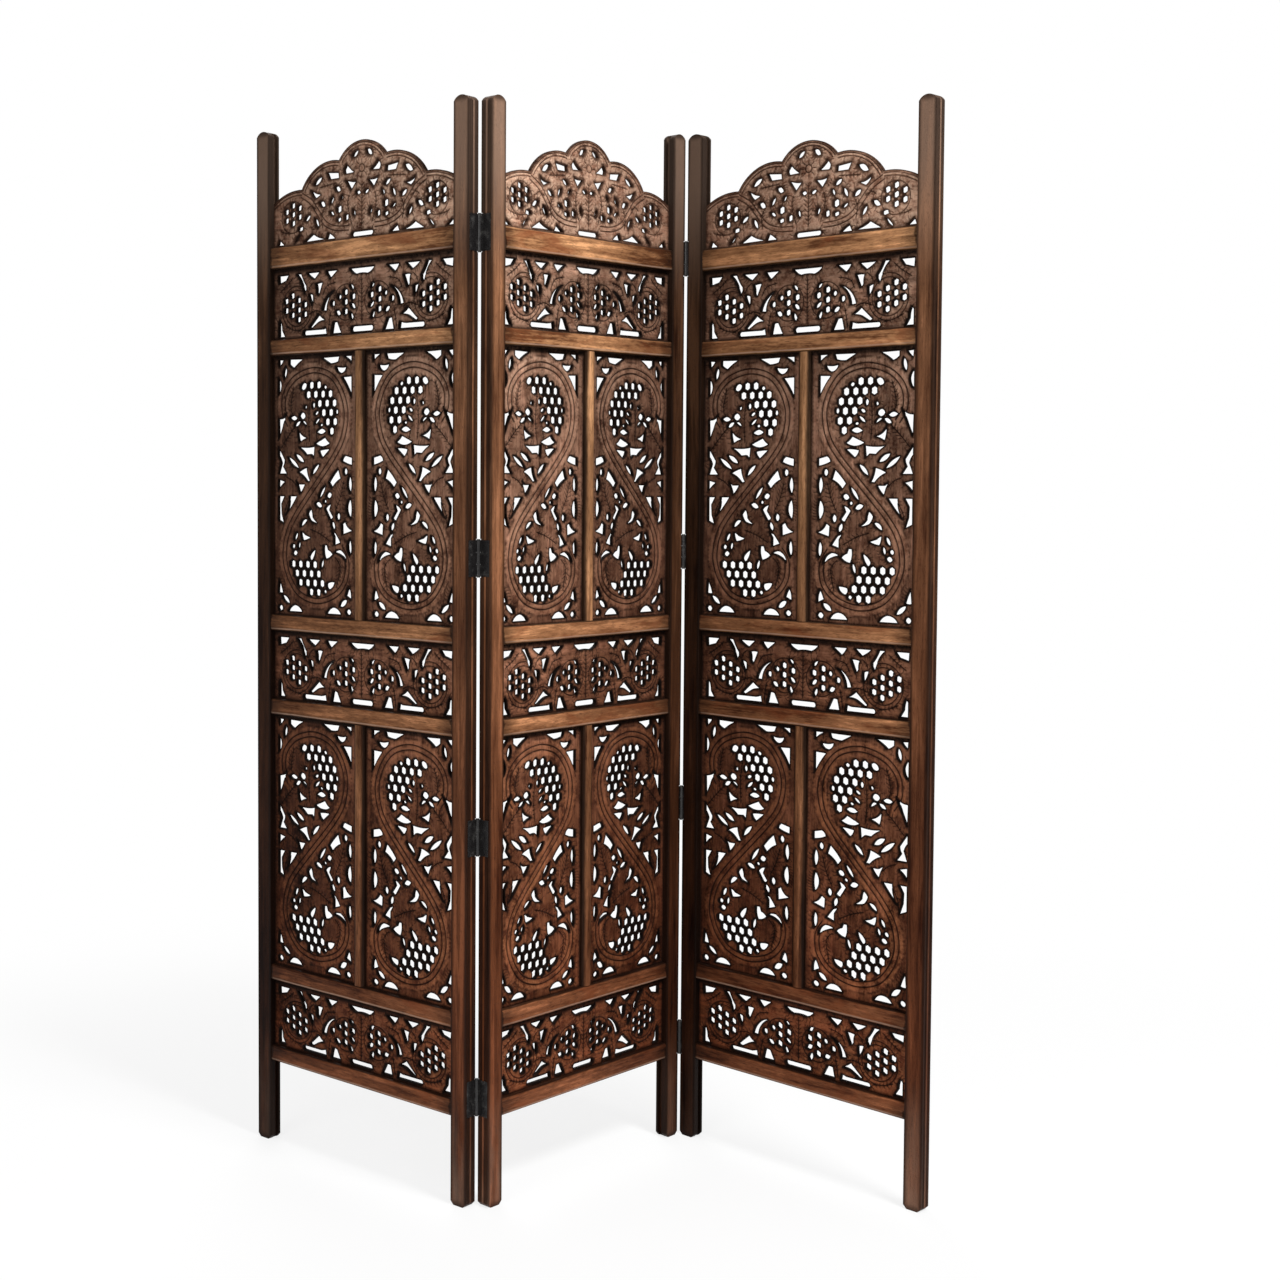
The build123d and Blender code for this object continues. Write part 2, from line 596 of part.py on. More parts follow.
def leaf_pieces(left_face, right_face):
    """Every wooden piece of one leaf, by name, in the leaf's own frame."""
    levels = rail_levels()
    middles = bay_middles()
    pieces = {
        "left_stile": [mortised_stile(-1, left_face)],
        "right_stile": [mortised_stile(1, right_face)],
    }
    for name, level in zip(RAIL_NAMES, levels):
        height = TOP_RAIL_HEIGHT if name == "top_rail" else RAIL_HEIGHT
        pieces[name] = [Pos(0, 0, level) * rail(height, name != "bottom_rail")]
    pieces["mullions"] = [
        Pos(0, 0, levels[1] + RAIL_HEIGHT) * mullion(LOW_LATTICE),
        Pos(0, 0, levels[3] + RAIL_HEIGHT) * mullion(HIGH_LATTICE),
    ]
    pieces["bottom_band"] = [Pos(0, 0, middles[0]) * band_panel(LOW_BAND)]
    pieces["middle_band"] = [Pos(0, 0, middles[2]) * band_panel(MIDDLE_BAND)]
    pieces["top_band"] = [Pos(0, 0, middles[4]) * band_panel(HIGH_BAND)]
    across = (MULLION_WIDTH + LATTICE_WIDTH) / 2
    tall_bays = (("lower", LOW_LATTICE, middles[1]), ("upper", HIGH_LATTICE, middles[3]))
    for level_name, height, middle in tall_bays:
        pieces[f"{level_name}_left_lattice"] = [Pos(-across, 0, middle) * lattice_panel(height, -1)]
        pieces[f"{level_name}_right_lattice"] = [Pos(across, 0, middle) * lattice_panel(height, 1)]
    pieces["crest"] = [Pos(0, 0, levels[5] + TOP_RAIL_HEIGHT) * crest_panel()]
    return pieces


def edge_screws(hand, face):
    """All hinge screws along one edge of a leaf."""
    screws = []
    for place in screw_places():
        screws += hinge_set(place * hinge_screw(), hand, face)
    return screws


def plan_turned(point, angle):
    """A plan point turned about the origin by angle degrees."""
    cosine = math.cos(math.radians(angle))
    sine = math.sin(math.radians(angle))
    return (point[0] * cosine - point[1] * sine, point[0] * sine + point[1] * cosine)


def leaf_place(angle, hinge_point, hinge_at):
    """Location that turns a leaf by angle and brings its hinge_point to hinge_at."""
    turned = plan_turned(hinge_point, angle)
    return Pos(hinge_at[0] - turned[0], hinge_at[1] - turned[1], 0) * Rot(0, 0, angle)


def build_screen():
    """Every node of the screen, and its two hinge lines, with the middle leaf at the origin."""
    left_line = plan_turned((-HINGE_X, HINGE_Y), MIDDLE_LEAF_TURN)
    right_line = plan_turned((HINGE_X, -HINGE_Y), MIDDLE_LEAF_TURN)
    places = {
        "left": leaf_place(-LEFT_LEAF_TURN, (HINGE_X, HINGE_Y), left_line),
        "middle": Rot(0, 0, MIDDLE_LEAF_TURN),
        "right": leaf_place(-RIGHT_LEAF_TURN, (-HINGE_X, -HINGE_Y), right_line),
    }
    faces = {"left": (0, 1), "middle": (1, -1), "right": (-1, 0)}

    nodes = {}
    for leaf, place in places.items():
        for name, solids in leaf_pieces(*faces[leaf]).items():
            nodes[f"{leaf}_leaf_{name}"] = [place * solid for solid in solids]

    outer_knuckles = hinge_plate((0, 2), PIN_RADIUS)
    inner_knuckle = hinge_plate((1,), PIN_RADIUS + PIN_CLEARANCE)
    hardware = {
        "left_hinges_outer_leaf_plates": ("left", hinge_set(inner_knuckle, 1, 1)),
        "left_hinges_middle_leaf_plates": ("middle", hinge_set(outer_knuckles, -1, 1)),
        "left_hinge_pins": ("middle", hinge_set(hinge_pin(), -1, 1)),
        "right_hinges_outer_leaf_plates": ("right", hinge_set(inner_knuckle, -1, -1)),
        "right_hinges_middle_leaf_plates": ("middle", hinge_set(outer_knuckles, 1, -1)),
        "right_hinge_pins": ("middle", hinge_set(hinge_pin(), 1, -1)),
        "left_leaf_hinge_screws": ("left", edge_screws(1, 1)),
        "middle_leaf_hinge_screws": ("middle", edge_screws(-1, 1) + edge_screws(1, -1)),
        "right_leaf_hinge_screws": ("right", edge_screws(-1, -1)),
    }
    for name, (leaf, solids) in hardware.items():
        nodes[name] = [places[leaf] * solid for solid in solids]
    return nodes, {"left": left_line, "right": right_line}


nodes, hinge_lines = build_screen()
whole = Compound([solid for solids in nodes.values() for solid in solids]).bounding_box()
plan_middle = whole.center()
to_floor_centre = Pos(-plan_middle.X, -plan_middle.Y, -whole.min.Z)

os.makedirs("parts", exist_ok=True)
for name, solids in nodes.items():
    export_step(Compound([to_floor_centre * solid for solid in solids]), f"parts/{name}.step")
for name, (across, depth) in hinge_lines.items():
    line = to_floor_centre * Pos(across, depth, 0)
    print(f"{name} hinge line at X {line.position.X:.4f}, Y {line.position.Y:.4f}")
print(f"{len(nodes)} nodes, box {whole.size.X:.2f} x {whole.size.Y:.2f} x {whole.size.Z:.2f}")
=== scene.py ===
import math

import bmesh
import bpy
from bpy.props import FloatProperty, FloatVectorProperty, PointerProperty
from mathutils import Matrix, Vector, bvhtree, geometry, kdtree, noise


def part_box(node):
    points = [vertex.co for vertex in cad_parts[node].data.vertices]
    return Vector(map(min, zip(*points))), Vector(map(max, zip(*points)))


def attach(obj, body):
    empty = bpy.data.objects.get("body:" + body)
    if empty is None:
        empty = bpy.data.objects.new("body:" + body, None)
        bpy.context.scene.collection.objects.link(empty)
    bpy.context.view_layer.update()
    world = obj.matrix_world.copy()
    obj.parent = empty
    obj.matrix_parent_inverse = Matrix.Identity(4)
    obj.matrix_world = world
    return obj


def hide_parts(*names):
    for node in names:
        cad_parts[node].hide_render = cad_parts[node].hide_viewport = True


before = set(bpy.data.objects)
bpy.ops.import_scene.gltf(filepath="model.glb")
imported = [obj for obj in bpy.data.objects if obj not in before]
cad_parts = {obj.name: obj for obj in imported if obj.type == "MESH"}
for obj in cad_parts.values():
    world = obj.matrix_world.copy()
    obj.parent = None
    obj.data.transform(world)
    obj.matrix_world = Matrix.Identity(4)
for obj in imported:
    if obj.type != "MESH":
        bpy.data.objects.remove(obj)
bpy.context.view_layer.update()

bl_info = {
    "name": "Carved Jali Screen",
    "version": (1, 0, 0),
    "blender": (4, 5, 0),
    "location": "View3D > Sidebar > Jali Screen",
    "description": "Carves and finishes the three leaves of a folding jali screen",
    "category": "Add Mesh",
}

LEAVES = ("left", "middle", "right")

# A millimetre in metres, a metre in millimetres, and how near to each other, in metres,
# two corners of a node's mesh are one
MILLIMETRE = 0.001
METRE = 1000.0
MERGE_METRES = 1e-5

# Lengths here are millimetres in a leaf's own frame: X along the leaf, Y from its front
# to its back and Z up from the floor, with the origin midway between its two stiles.
STILE_HALF_WIDTH = 17.0
RAIL_HALF_LENGTH = 220.0
MULLION_HALF_WIDTH = 12.0

# How far a panel's tongue stands in the grooves round its window, and over what width the
# carving starts there
SIDE_TONGUE = 7.0
FOOT_TONGUE = 8.0
WINDOW_BLEND = 1.5

# Spacing of the carved surface's points, how close two may come as a share of that, and
# how near to an edge they may lie
EDGE_STEP = 2.6
RING_DEPTHS = (1.2, 2.6, 3.9, 4.8, 5.7)
RING_SPACING = 1.9
RING_CLOSENESS = 0.75
RING_MARGIN = 0.85
STROKE_STEP = 1.7
STROKE_CLOSENESS = 0.75
STROKE_SIDE_CLOSENESS = 0.8
STROKE_MARGIN = 1.6
FILL_STEP = 4.0
FILL_CLOSENESS = 0.6
FILL_MARGIN = RING_DEPTHS[1] + 0.6
PROBE_STEP = 0.8

# How near two points are one when the surface is made, and from what angle an edge is sharp
TOUCHING = 1e-5
SHARP_ANGLE = math.radians(40)

# The line that runs round inside every leaf and petal
BORDER_DISTANCE = 4.8
BORDER_HALF_WIDTH = 1.5

# Half width of each kind of gouge cut and its depth in groove depths, and the share of its
# width that a tapered end keeps
RIBBON_CUT = (2.3, 1.5)
MIDRIB_CUT = (2.1, 1.4)
VEIN_CUT = (1.6, 0.95)
ROUND_CUT = (2.0, 1.2)
STRAND_CUT = (2.0, 1.3)
FLORET_CUT = (1.6, 1.0)
RIM_CUT = (1.9, 1.2)
BLUNT_END = 0.6

# Side veins of a leaf: one pair at every so many points of the midrib, how they lean and
# bow towards the tip, and how much shorter they are at its ends
VEIN_EVERY = 4
VEIN_LEAN = 0.9
VEIN_BOW = 0.05
VEIN_FADE = 0.5

# Short cuts in the broad leaves
FRINGE_START = 6.4
FRINGE_LEAN = 0.6
FRINGE_HALF_WIDTH = 1.5
FRINGE_DEPTHS = (0.8, 1.0, 0.8, 0.4)
FRINGE_SPACING = 5.0
FRINGE_CLEARANCE = 2.4

# Ground beside the raised ribbon, and the wavy unevenness of hand work
RIBBON_SLOPE = 2.0
UNEVENNESS = 0.3
UNEVEN_REACH = 14

# Where painted shade lies, by distance from a hole's edge, the frame or the ribbon, and how
# black it is there: on the holes' walls and rims, in the grooves and the border line, along
# the ribbon's shoulders, a painted shadow along the frame and under the rail above, and a
# darker ground beside the ribbon
RIM_SHADE = (1.3, 3.7)
FRAME_SHADE_REACH = 6.0
RAIL_SHADOW_REACH = 14.0
SHOULDER_DISTANCE = 0.8
SHOULDER_REACH = 1.8
SHOULDER_SHADE = 0.8
GROOVE_SHADE = 0.65
BORDER_SHADE = 0.85
FRAME_SHADE = 0.95
GROUND_DARKNESS = 0.25

# Where the wood is rubbed bare and painted with a highlight, by distance from a hole's
# edge, and how far the middle of a leaf is spared
RIM_WEAR_AND_HIGHLIGHT = (2.2, 3.9)
SPARED = (5, 10)
SPARED_SHARE = 0.5

# The drawing of a tall panel, on a window of this size, for the right-hand panel
LATTICE_WINDOW = (208.0, 460.0)
RIBBON_HALF_WIDTH = 14.0
RIBBON_STRAND = 4.6
UPPER_RIBBON = (
    (66, 108), (80, 132), (76, 164), (50, 190), (5, 202), (-38, 192), (-64, 166),
    (-77, 134), (-76, 104), (-66, 76), (-47, 50), (-24, 25), (0, 0),
)
LATTICE_LEAVES = (
    # foot, bend and tip of each midrib, and how far its veins reach
    ((14, 76), (16, 120), (10, 168), 9),
    ((90, 64), (74, 82), (50, 106), 13),
    ((48, 116), (62, 136), (54, 176), 12),
    ((-50, -44), (-63, -20), (-72, 10), 14),
    ((14, -76), (-12, -84), (-40, -98), 11),
    ((-48, -122), (-62, -140), (-54, -178), 12),
    ((46, -2), (60, 10), (76, 16), 7),
    ((-12, 60), (-4, 84), (-2, 98), 6),
    ((66, -22), (78, -44), (80, -64), 7),
)

# Low panels: right half, mirrored to the left
BAND_WINDOW = (440.0, 124.0)
BAND_STEM = ((0, -44), (0, 0), (0, 36), 11)
BAND_LEAVES = (
    ((82, -57), (80, -40), (76, -20), 8),
    ((96, -22), (112, -16), (132, -22), 8),
    ((96, 8), (86, 24), (62, 30), 8),
    ((118, 34), (128, 26), (132, 16), 6),
    ((170, 46), (184, 34), (206, 20), 10),
    ((150, -50), (172, -46), (192, -38), 9),
)
BAND_ROUNDS = (((38, -6), 30.5), ((161, -9), 31.5), ((161, -9), 38.5))

# Crest: right half, measured up from the top rail
CREST_STEM = ((0, 18), (0, 60), (0, 94), 15)
CREST_LEAVES = (
    ((24, 24), (34, 58), (30, 78), 9),
    ((96, 24), (98, 44), (92, 60), 10),
    ((60, 100), (84, 98), (104, 96), 7),
    ((136, 60), (126, 66), (112, 60), 7),
    ((204, 30), (196, 26), (176, 22), 9),
)
CREST_RIBBON = ((30, 20), (62, 22), (88, 32), (108, 54), (126, 74), (150, 88))
CREST_STRAND = 4.0
CREST_ROUNDS = (((172, 51), 28.0), ((0, 119), 6.5))
CREST_FLORET = ((0, 119), 9.0, 16.0, 8)

# Grooves along the lobes of the crest: how far in they run, how high the lobes begin, and
# how much of the air above an edge is looked at, and in what steps, to call it a lobe
CREST_RIM = (4.4, 9.4)
CREST_SHOULDER = 70
CLEAR_AIR = 120
CLEAR_STEP = 3


def smooth_line(points, step):
    """Evenly spaced points on a smooth line through the given ones."""
    knots = [Vector((across, up, 0)) for across, up in points]
    line = [knots[0]]
    for index in range(len(knots) - 1):
        start, end = knots[index], knots[index + 1]
        before = knots[max(index - 1, 0)]
        after = knots[min(index + 2, len(knots) - 1)]
        leave = start + (end - before) / 6
        arrive = end - (after - start) / 6
        count = max(2, round((end - start).length / step) + 1)
        line += geometry.interpolate_bezier(start, leave, arrive, end, count)[1:]
    return [Vector((point.x, point.y)) for point in line]


def beside(line, distance):
    """The same line moved sideways, to its left if distance is positive."""
    moved = []
    for index, point in enumerate(line):
        ahead = line[min(index + 1, len(line) - 1)] - line[max(index - 1, 0)]
        moved.append(point + Vector((-ahead.y, ahead.x)).normalized() * distance)
    return moved


def round_line(centre, radius, step):
    """A full circle of evenly spaced points."""
    count = max(8, round(2 * math.pi * radius / step))
    line = []
    for index in range(count + 1):
        turn = 2 * math.pi * index / count
        line.append(Vector((centre[0] + radius * math.cos(turn), centre[1] + radius * math.sin(turn))))
    return line


def ramp(amount, low, high):
    """0 below low and 1 above high, smooth between them."""
    share = min(1, max(0, (amount - low) / (high - low)))
    return share * share * (3 - 2 * share)


def near(points):
    """A search tree of points on the flat."""
    tree = kdtree.KDTree(max(1, len(points)))
    for index, point in enumerate(points):
        tree.insert((point.x, point.y, 0), index)
    tree.balance()
    return tree


class Strokes:
    """Every line that the gouge cuts on one panel."""

    def __init__(self, fit):
        self.fit = fit
        self.cuts = []
        self.raised = []

    def cut(self, line, half_width, depth, taper=0):
        """Adds one groove; over its last taper points at each end it fades out."""
        last = len(line) - 1
        for index, point in enumerate(line):
            inward = min(index, last - index)
            strength = min(1, (inward + 1) / (taper + 1))
            width = half_width * (BLUNT_END + (1 - BLUNT_END) * strength)
            self.cuts.append((self.fit(point), width, depth * strength))

    def ribbon(self, line, strand):
        """A raised ribbon of three strands with two grooves between them."""
        for side in (-1, 1):
            self.cut(beside(line, side * strand), *RIBBON_CUT)
        self.raised += [self.fit(point) for point in line]

    def leaf(self, foot, bend, tip, reach):
        """Midrib and paired side veins of one leaf."""
        midrib = smooth_line((foot, bend, tip), STROKE_STEP)
        self.cut(midrib, *MIDRIB_CUT, taper=3)
        for index in range(VEIN_EVERY, len(midrib) - VEIN_EVERY, VEIN_EVERY):
            point = midrib[index]
            along = (midrib[index + 1] - midrib[index - 1]).normalized()
            fade = 1 - VEIN_FADE * abs(2 * index / len(midrib) - 1)
            for side in (-1, 1):
                outward = Vector((-along.y, along.x)) * side
                end = point + (outward + along * VEIN_LEAN).normalized() * reach * fade
                middle = (point + end) / 2 + along * reach * VEIN_BOW
                self.cut(smooth_line((point, middle, end), STROKE_STEP), *VEIN_CUT, taper=2)


class Drawing:
    """One panel seen from the front: its edges, and what of it is wood."""

    def __init__(self, node, leaf, open_top=False):
        shape = bmesh.new()
        shape.from_mesh(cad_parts[node].data)
        bmesh.ops.remove_doubles(shape, verts=shape.verts, dist=MERGE_METRES)
        shape.transform(leaf_frame(leaf).inverted())
        shape.normal_update()
        self.measure(shape, open_top)
        facing = {face for face in shape.faces if face.normal.y < -0.9}
        self.wood = bvhtree.BVHTree.FromPolygons(
            [vert.co.copy() for vert in shape.verts],
            [[vert.index for vert in face.verts] for face in facing],
        )
        self.edges = outline(shape, facing)
        shape.free()
        probes = []
        for start, end, _ in self.edges:
            count = max(1, math.ceil((end - start).length / PROBE_STEP))
            probes += [start.lerp(end, index / count) for index in range(count)]
        self.probe = near(probes)

    def measure(self, shape, open_top):
        """Notes where the panel's faces and its window lie; a crest's window has no head."""
        heights = [vert.co.z for vert in shape.verts]
        acrosses = [vert.co.x for vert in shape.verts]
        self.front = min(vert.co.y for vert in shape.verts)
        self.back = max(vert.co.y for vert in shape.verts)
        self.window_low = Vector((min(acrosses) + SIDE_TONGUE, min(heights) + FOOT_TONGUE))
        # A crest has no head: its window reaches above it by the reach of the painted rail shadow, so none
        # falls on it
        top = max(heights) + (RAIL_SHADOW_REACH if open_top else -SIDE_TONGUE)
        self.window_high = Vector((max(acrosses) - SIDE_TONGUE, top))

    def is_wood(self, point):
        start = Vector((point.x, self.front - 1, point.y))
        return self.wood.ray_cast(start, Vector((0, 1, 0)), 2)[0] is not None

    def edge_distance(self, point):
        return self.probe.find((point.x, point.y, 0))[2]

    def window_middle(self):
        return (self.window_low + self.window_high) / 2

    def window_reach(self, point):
        """How far a point stands inside the frame's sides and foot, and below its head."""
        sides = min(point.x - self.window_low.x, self.window_high.x - point.x)
        return min(sides, point.y - self.window_low.y), self.window_high.y - point.y


def outline(shape, facing):
    """The edges of a shape's facing side: start, end and the way into the wood."""
    edges = []
    for edge in shape.edges:
        inside = [face for face in edge.link_faces if face in facing]
        if len(inside) == 1:
            start, end = (Vector((vert.co.x, vert.co.z)) for vert in edge.verts)
            centre = inside[0].calc_center_median()
            across = Vector((start.y - end.y, end.x - start.x)).normalized()
            if across.dot(Vector((centre.x, centre.z)) - start) < 0:
                across.negate()
            edges.append((start, end, across))
    return edges


class Scatter:
    """Points of which none comes closer to another than it is asked to."""

    CELL = 1.6

    def __init__(self):
        self.points = []
        self.cells = {}

    def add(self, point, spacing):
        """Index of the point, or None where another is closer than spacing."""
        column, row = math.floor(point.x / self.CELL), math.floor(point.y / self.CELL)
        reach = math.ceil(spacing / self.CELL)
        for near_column in range(column - reach, column + reach + 1):
            for near_row in range(row - reach, row + reach + 1):
                for index in self.cells.get((near_column, near_row), ()):
                    if (self.points[index] - point).length < spacing:
                        return None
        self.cells.setdefault((column, row), []).append(len(self.points))
        self.points.append(point)
        return len(self.points) - 1


def fringe(drawing, strokes):
    """Short cuts that run in from the rims of the leaves, past their border lines."""
    drawn = near([centre for centre, _, _ in strokes.cuts])
    raised = near(strokes.raised) if strokes.raised else None
    starts = Scatter()
    for start, end, across in drawing.edges:
        rim = (start + end) / 2
        if min(drawing.window_reach(rim)) < 1:
            continue
        lean = (across + FRINGE_LEAN * Vector((across.y, -across.x))).normalized()
        first = rim + across * FRINGE_START
        line = [first + lean * step * STROKE_STEP for step in range(len(FRINGE_DEPTHS))]
        if any(drawing.edge_distance(point) < FRINGE_START * 0.9 for point in line):
            continue
        deepest = (line[1].x, line[1].y, 0)
        if not drawing.is_wood(line[0]) or drawn.find(deepest)[2] < FRINGE_CLEARANCE:
            continue
        if raised and raised.find(deepest)[2] < RIBBON_HALF_WIDTH + RIBBON_SLOPE:
            continue
        if starts.add(line[1], FRINGE_SPACING) is not None:
            for depth, point in zip(FRINGE_DEPTHS, line):
                strokes.cuts.append((point, FRINGE_HALF_WIDTH, depth))


def edge_points(drawing, scatter):
    """Puts the panel's edges in the scatter, and gives them as pairs with their inward sides."""
    indices = {}
    inward = {}
    pairs = []

    def index_of(point, across):
        key = (round(point.x, 3), round(point.y, 3))
        if key not in indices:
            indices[key] = scatter.add(point, 0)
        inward[indices[key]] = inward.get(indices[key], Vector((0, 0))) + across
        return indices[key]

    for start, end, across in drawing.edges:
        count = max(1, round((end - start).length / EDGE_STEP))
        stops = [index_of(start.lerp(end, step / count), across) for step in range(count + 1)]
        pairs += list(zip(stops, stops[1:]))
    return pairs, inward


def surface_points(drawing, strokes):
    """Every point of one carved face, with the edges that it must keep."""
    scatter = Scatter()
    pairs, inward = edge_points(drawing, scatter)
    rims = [(scatter.points[index].copy(), side.normalized()) for index, side in inward.items()]
    for centre, _, _ in strokes.cuts:
        if drawing.edge_distance(centre) > STROKE_MARGIN and drawing.is_wood(centre):
            scatter.add(centre, STROKE_CLOSENESS * STROKE_STEP)
    for centre, half_width, _ in strokes.cuts:
        for radians in range(6):
            place = centre + Vector((math.cos(radians), math.sin(radians))) * half_width
            if drawing.edge_distance(place) > STROKE_MARGIN and drawing.is_wood(place):
                scatter.add(place, STROKE_SIDE_CLOSENESS * STROKE_STEP)
    for depth in RING_DEPTHS:
        for point, side in rims:
            place = point + side * depth
            if drawing.edge_distance(place) > RING_MARGIN * depth and drawing.is_wood(place):
                scatter.add(place, min(RING_CLOSENESS * depth, RING_SPACING))
    low = drawing.window_low
    high = drawing.window_high
    rows = math.ceil((high.y - low.y) / (FILL_STEP * math.sqrt(0.75)))
    columns = math.ceil((high.x - low.x) / FILL_STEP)
    for row in range(rows + 1):
        for column in range(columns + 1):
            shift = 0.5 * (row % 2)
            place = low + Vector(((column + shift) * FILL_STEP, row * FILL_STEP * math.sqrt(0.75)))
            if drawing.edge_distance(place) > FILL_MARGIN and drawing.is_wood(place):
                scatter.add(place, FILL_CLOSENESS * FILL_STEP)
    return scatter.points, pairs


class Relief:
    """How deep the carving lies at each place of a panel."""

    def __init__(self, drawing, strokes, sizes):
        self.drawing = drawing
        self.sizes = sizes
        self.strokes = strokes
        self.cuts = near([centre for centre, _, _ in strokes.cuts])
        self.widest = max(width for _, width, _ in strokes.cuts)
        self.raised = near(strokes.raised) if strokes.raised else None

    def groove(self, place):
        deepest = 0
        for _, index, distance in self.cuts.find_range(place, self.widest):
            _, half_width, depth = self.strokes.cuts[index]
            if distance < half_width:
                deepest = max(deepest, depth * (1 - (distance / half_width) ** 2) ** 2)
        return deepest * self.sizes.groove_depth / MILLIMETRE

    def ribbon_distance(self, place):
        return self.raised.find(place)[2] if self.raised else math.inf

    def at(self, point):
        """Depth below the flat face, its painted shade, and how far it is worn and painted with a highlight.
        """
        place = (point.x, point.y, 0)
        sizes = self.sizes
        edge = self.drawing.edge_distance(point)
        ribbon = self.ribbon_distance(place) - RIBBON_HALF_WIDTH
        beside = ramp(ribbon, 0, RIBBON_SLOPE)
        cushion = max(0, 1 - edge * MILLIMETRE / sizes.cushion_reach) ** 2 * sizes.cushion_drop / MILLIMETRE
        groove = self.groove(place)
        away = min(1, abs(edge - BORDER_DISTANCE) / BORDER_HALF_WIDTH)
        border = (1 - away * away) ** 2 * beside * sizes.border_depth / MILLIMETRE
        ground = beside * sizes.ground_drop / MILLIMETRE if self.raised else 0
        wave = noise.noise(Vector((point.x, point.y, self.drawing.front)) / UNEVEN_REACH)
        uneven = abs(wave) * UNEVENNESS
        margin, below_head = self.drawing.window_reach(point)
        share = ramp(min(margin, below_head), 0, WINDOW_BLEND)
        depth = (cushion + max(groove, border) + ground + uneven) * share
        # Painted shadow under the rail above, and painted shade along the frame's sides and foot
        rail_shadow = 1 - ramp(below_head, RAIL_SHADOW_REACH / 3, RAIL_SHADOW_REACH)
        corner = max(1 - ramp(margin, 0, FRAME_SHADE_REACH), rail_shadow)
        # Painted shade: black on the walls and rims of the holes, in the grooves and the border line and
        # along the ribbon's shoulders, with the frame's painted shadow and a darker ground beside the ribbon
        shade_and_grime = max(
            1 - ramp(edge, *RIM_SHADE),
            SHOULDER_SHADE * max(0, 1 - abs(ribbon - SHOULDER_DISTANCE) / SHOULDER_REACH),
            min(1, GROOVE_SHADE * groove),
            min(1, BORDER_SHADE * border),
            FRAME_SHADE * corner,
            GROUND_DARKNESS * beside if self.raised else 0,
        )
        spared = 1 - SPARED_SHARE * ramp(edge, *SPARED) * beside
        # Worn pale and painted with a highlight away from the holes' rims, less in a leaf's middle and none
        # under painted shade
        wear_and_highlight = ramp(edge, *RIM_WEAR_AND_HIGHLIGHT) * spared * (1 - shade_and_grime)
        return depth, shade_and_grime, wear_and_highlight


def carve(drawing, strokes, sizes):
    """The panel as one closed body in the leaf's frame, carved on both faces."""
    fringe(drawing, strokes)
    points, pairs = surface_points(drawing, strokes)
    corners, _, triangles = geometry.delaunay_2d_cdt(points, pairs, [], 0, TOUCHING, False)[:3]
    relief = Relief(drawing, strokes, sizes)
    body = bmesh.new()
    # Layers for the painted shade of each point, and for its wear and painted highlight
    shade_and_grime_layer = body.verts.layers.float.new("shade_and_grime")
    wear_and_highlight_layer = body.verts.layers.float.new("wear_and_highlight")
    verts = [body.verts.new((corner.x, drawing.front, corner.y)) for corner in corners]
    for triangle in triangles:
        centre = sum((corners[index] for index in triangle), Vector((0, 0))) / 3
        if drawing.is_wood(centre):
            face = body.faces.new([verts[index] for index in triangle])
            face.smooth = True
    bmesh.ops.delete(body, geom=[vert for vert in body.verts if not vert.link_faces], context="VERTS")
    for vert in body.verts:
        depth, vert[shade_and_grime_layer], vert[wear_and_highlight_layer] = relief.at(Vector((vert.co.x, vert.co.z)))
        vert.co.y = drawing.front + depth
    rim = [edge for edge in body.edges if edge.is_boundary]
    far_side = bmesh.ops.extrude_face_region(body, geom=body.faces[:])["geom"]
    far_verts = [item for item in far_side if isinstance(item, bmesh.types.BMVert)]
    for vert in far_verts:
        vert.co.y = drawing.back - (vert.co.y - drawing.front)
    bmesh.ops.recalc_face_normals(body, faces=body.faces)
    for edge in rim:
        edge.smooth = False
    for edge in body.edges:
        if edge.calc_face_angle(0) > SHARP_ANGLE:
            edge.smooth = False
    return body


def middle_of(node):
    low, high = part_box(node)
    return (low + high) / 2


def leaf_frame(leaf):
    """From a leaf's own millimetres to where it stands, in metres."""
    left = middle_of(f"{leaf}_leaf_left_stile")
    right = middle_of(f"{leaf}_leaf_right_stile")
    turn = math.atan2(right.y - left.y, right.x - left.x)
    middle = (left + right) / 2
    place = Matrix.Translation((middle.x, middle.y, 0))
    return place @ Matrix.Rotation(turn, 4, "Z") @ Matrix.Scale(MILLIMETRE, 4)


def stand_piece(name, shape, leaf, finish, node):
    """Makes a mesh drawn in the leaf's frame a piece of that leaf, in the place of a node."""
    mesh = bpy.data.meshes.new(name)
    shape.to_mesh(mesh)
    mesh.transform(leaf_frame(leaf))
    mesh.update()
    piece = bpy.data.objects.new(name, mesh)
    bpy.context.scene.collection.objects.link(piece)
    mesh.materials.append(finish)
    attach(piece, f"{leaf}_leaf")
    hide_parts(node)


def window_fit(drawing, window, hand=1):
    """Fits a drawing made on one window to a panel's own; a hand of -1 mirrors it."""
    middle = drawing.window_middle()
    size = drawing.window_high - drawing.window_low
    stretch = (hand * size.x / window[0], size.y / window[1])

    def fit(point):
        return Vector((middle.x + point[0] * stretch[0], middle.y + point[1] * stretch[1]))

    return fit


def lattice_strokes(drawing, hand):
    """The S-shaped ribbon and the leaves of a tall panel."""
    strokes = Strokes(window_fit(drawing, LATTICE_WINDOW, hand))
    lower = [(-across, -up) for across, up in reversed(UPPER_RIBBON[:-1])]
    strokes.ribbon(smooth_line(list(UPPER_RIBBON) + lower, STROKE_STEP), RIBBON_STRAND)
    for leaf in LATTICE_LEAVES:
        strokes.leaf(*leaf)
    return strokes


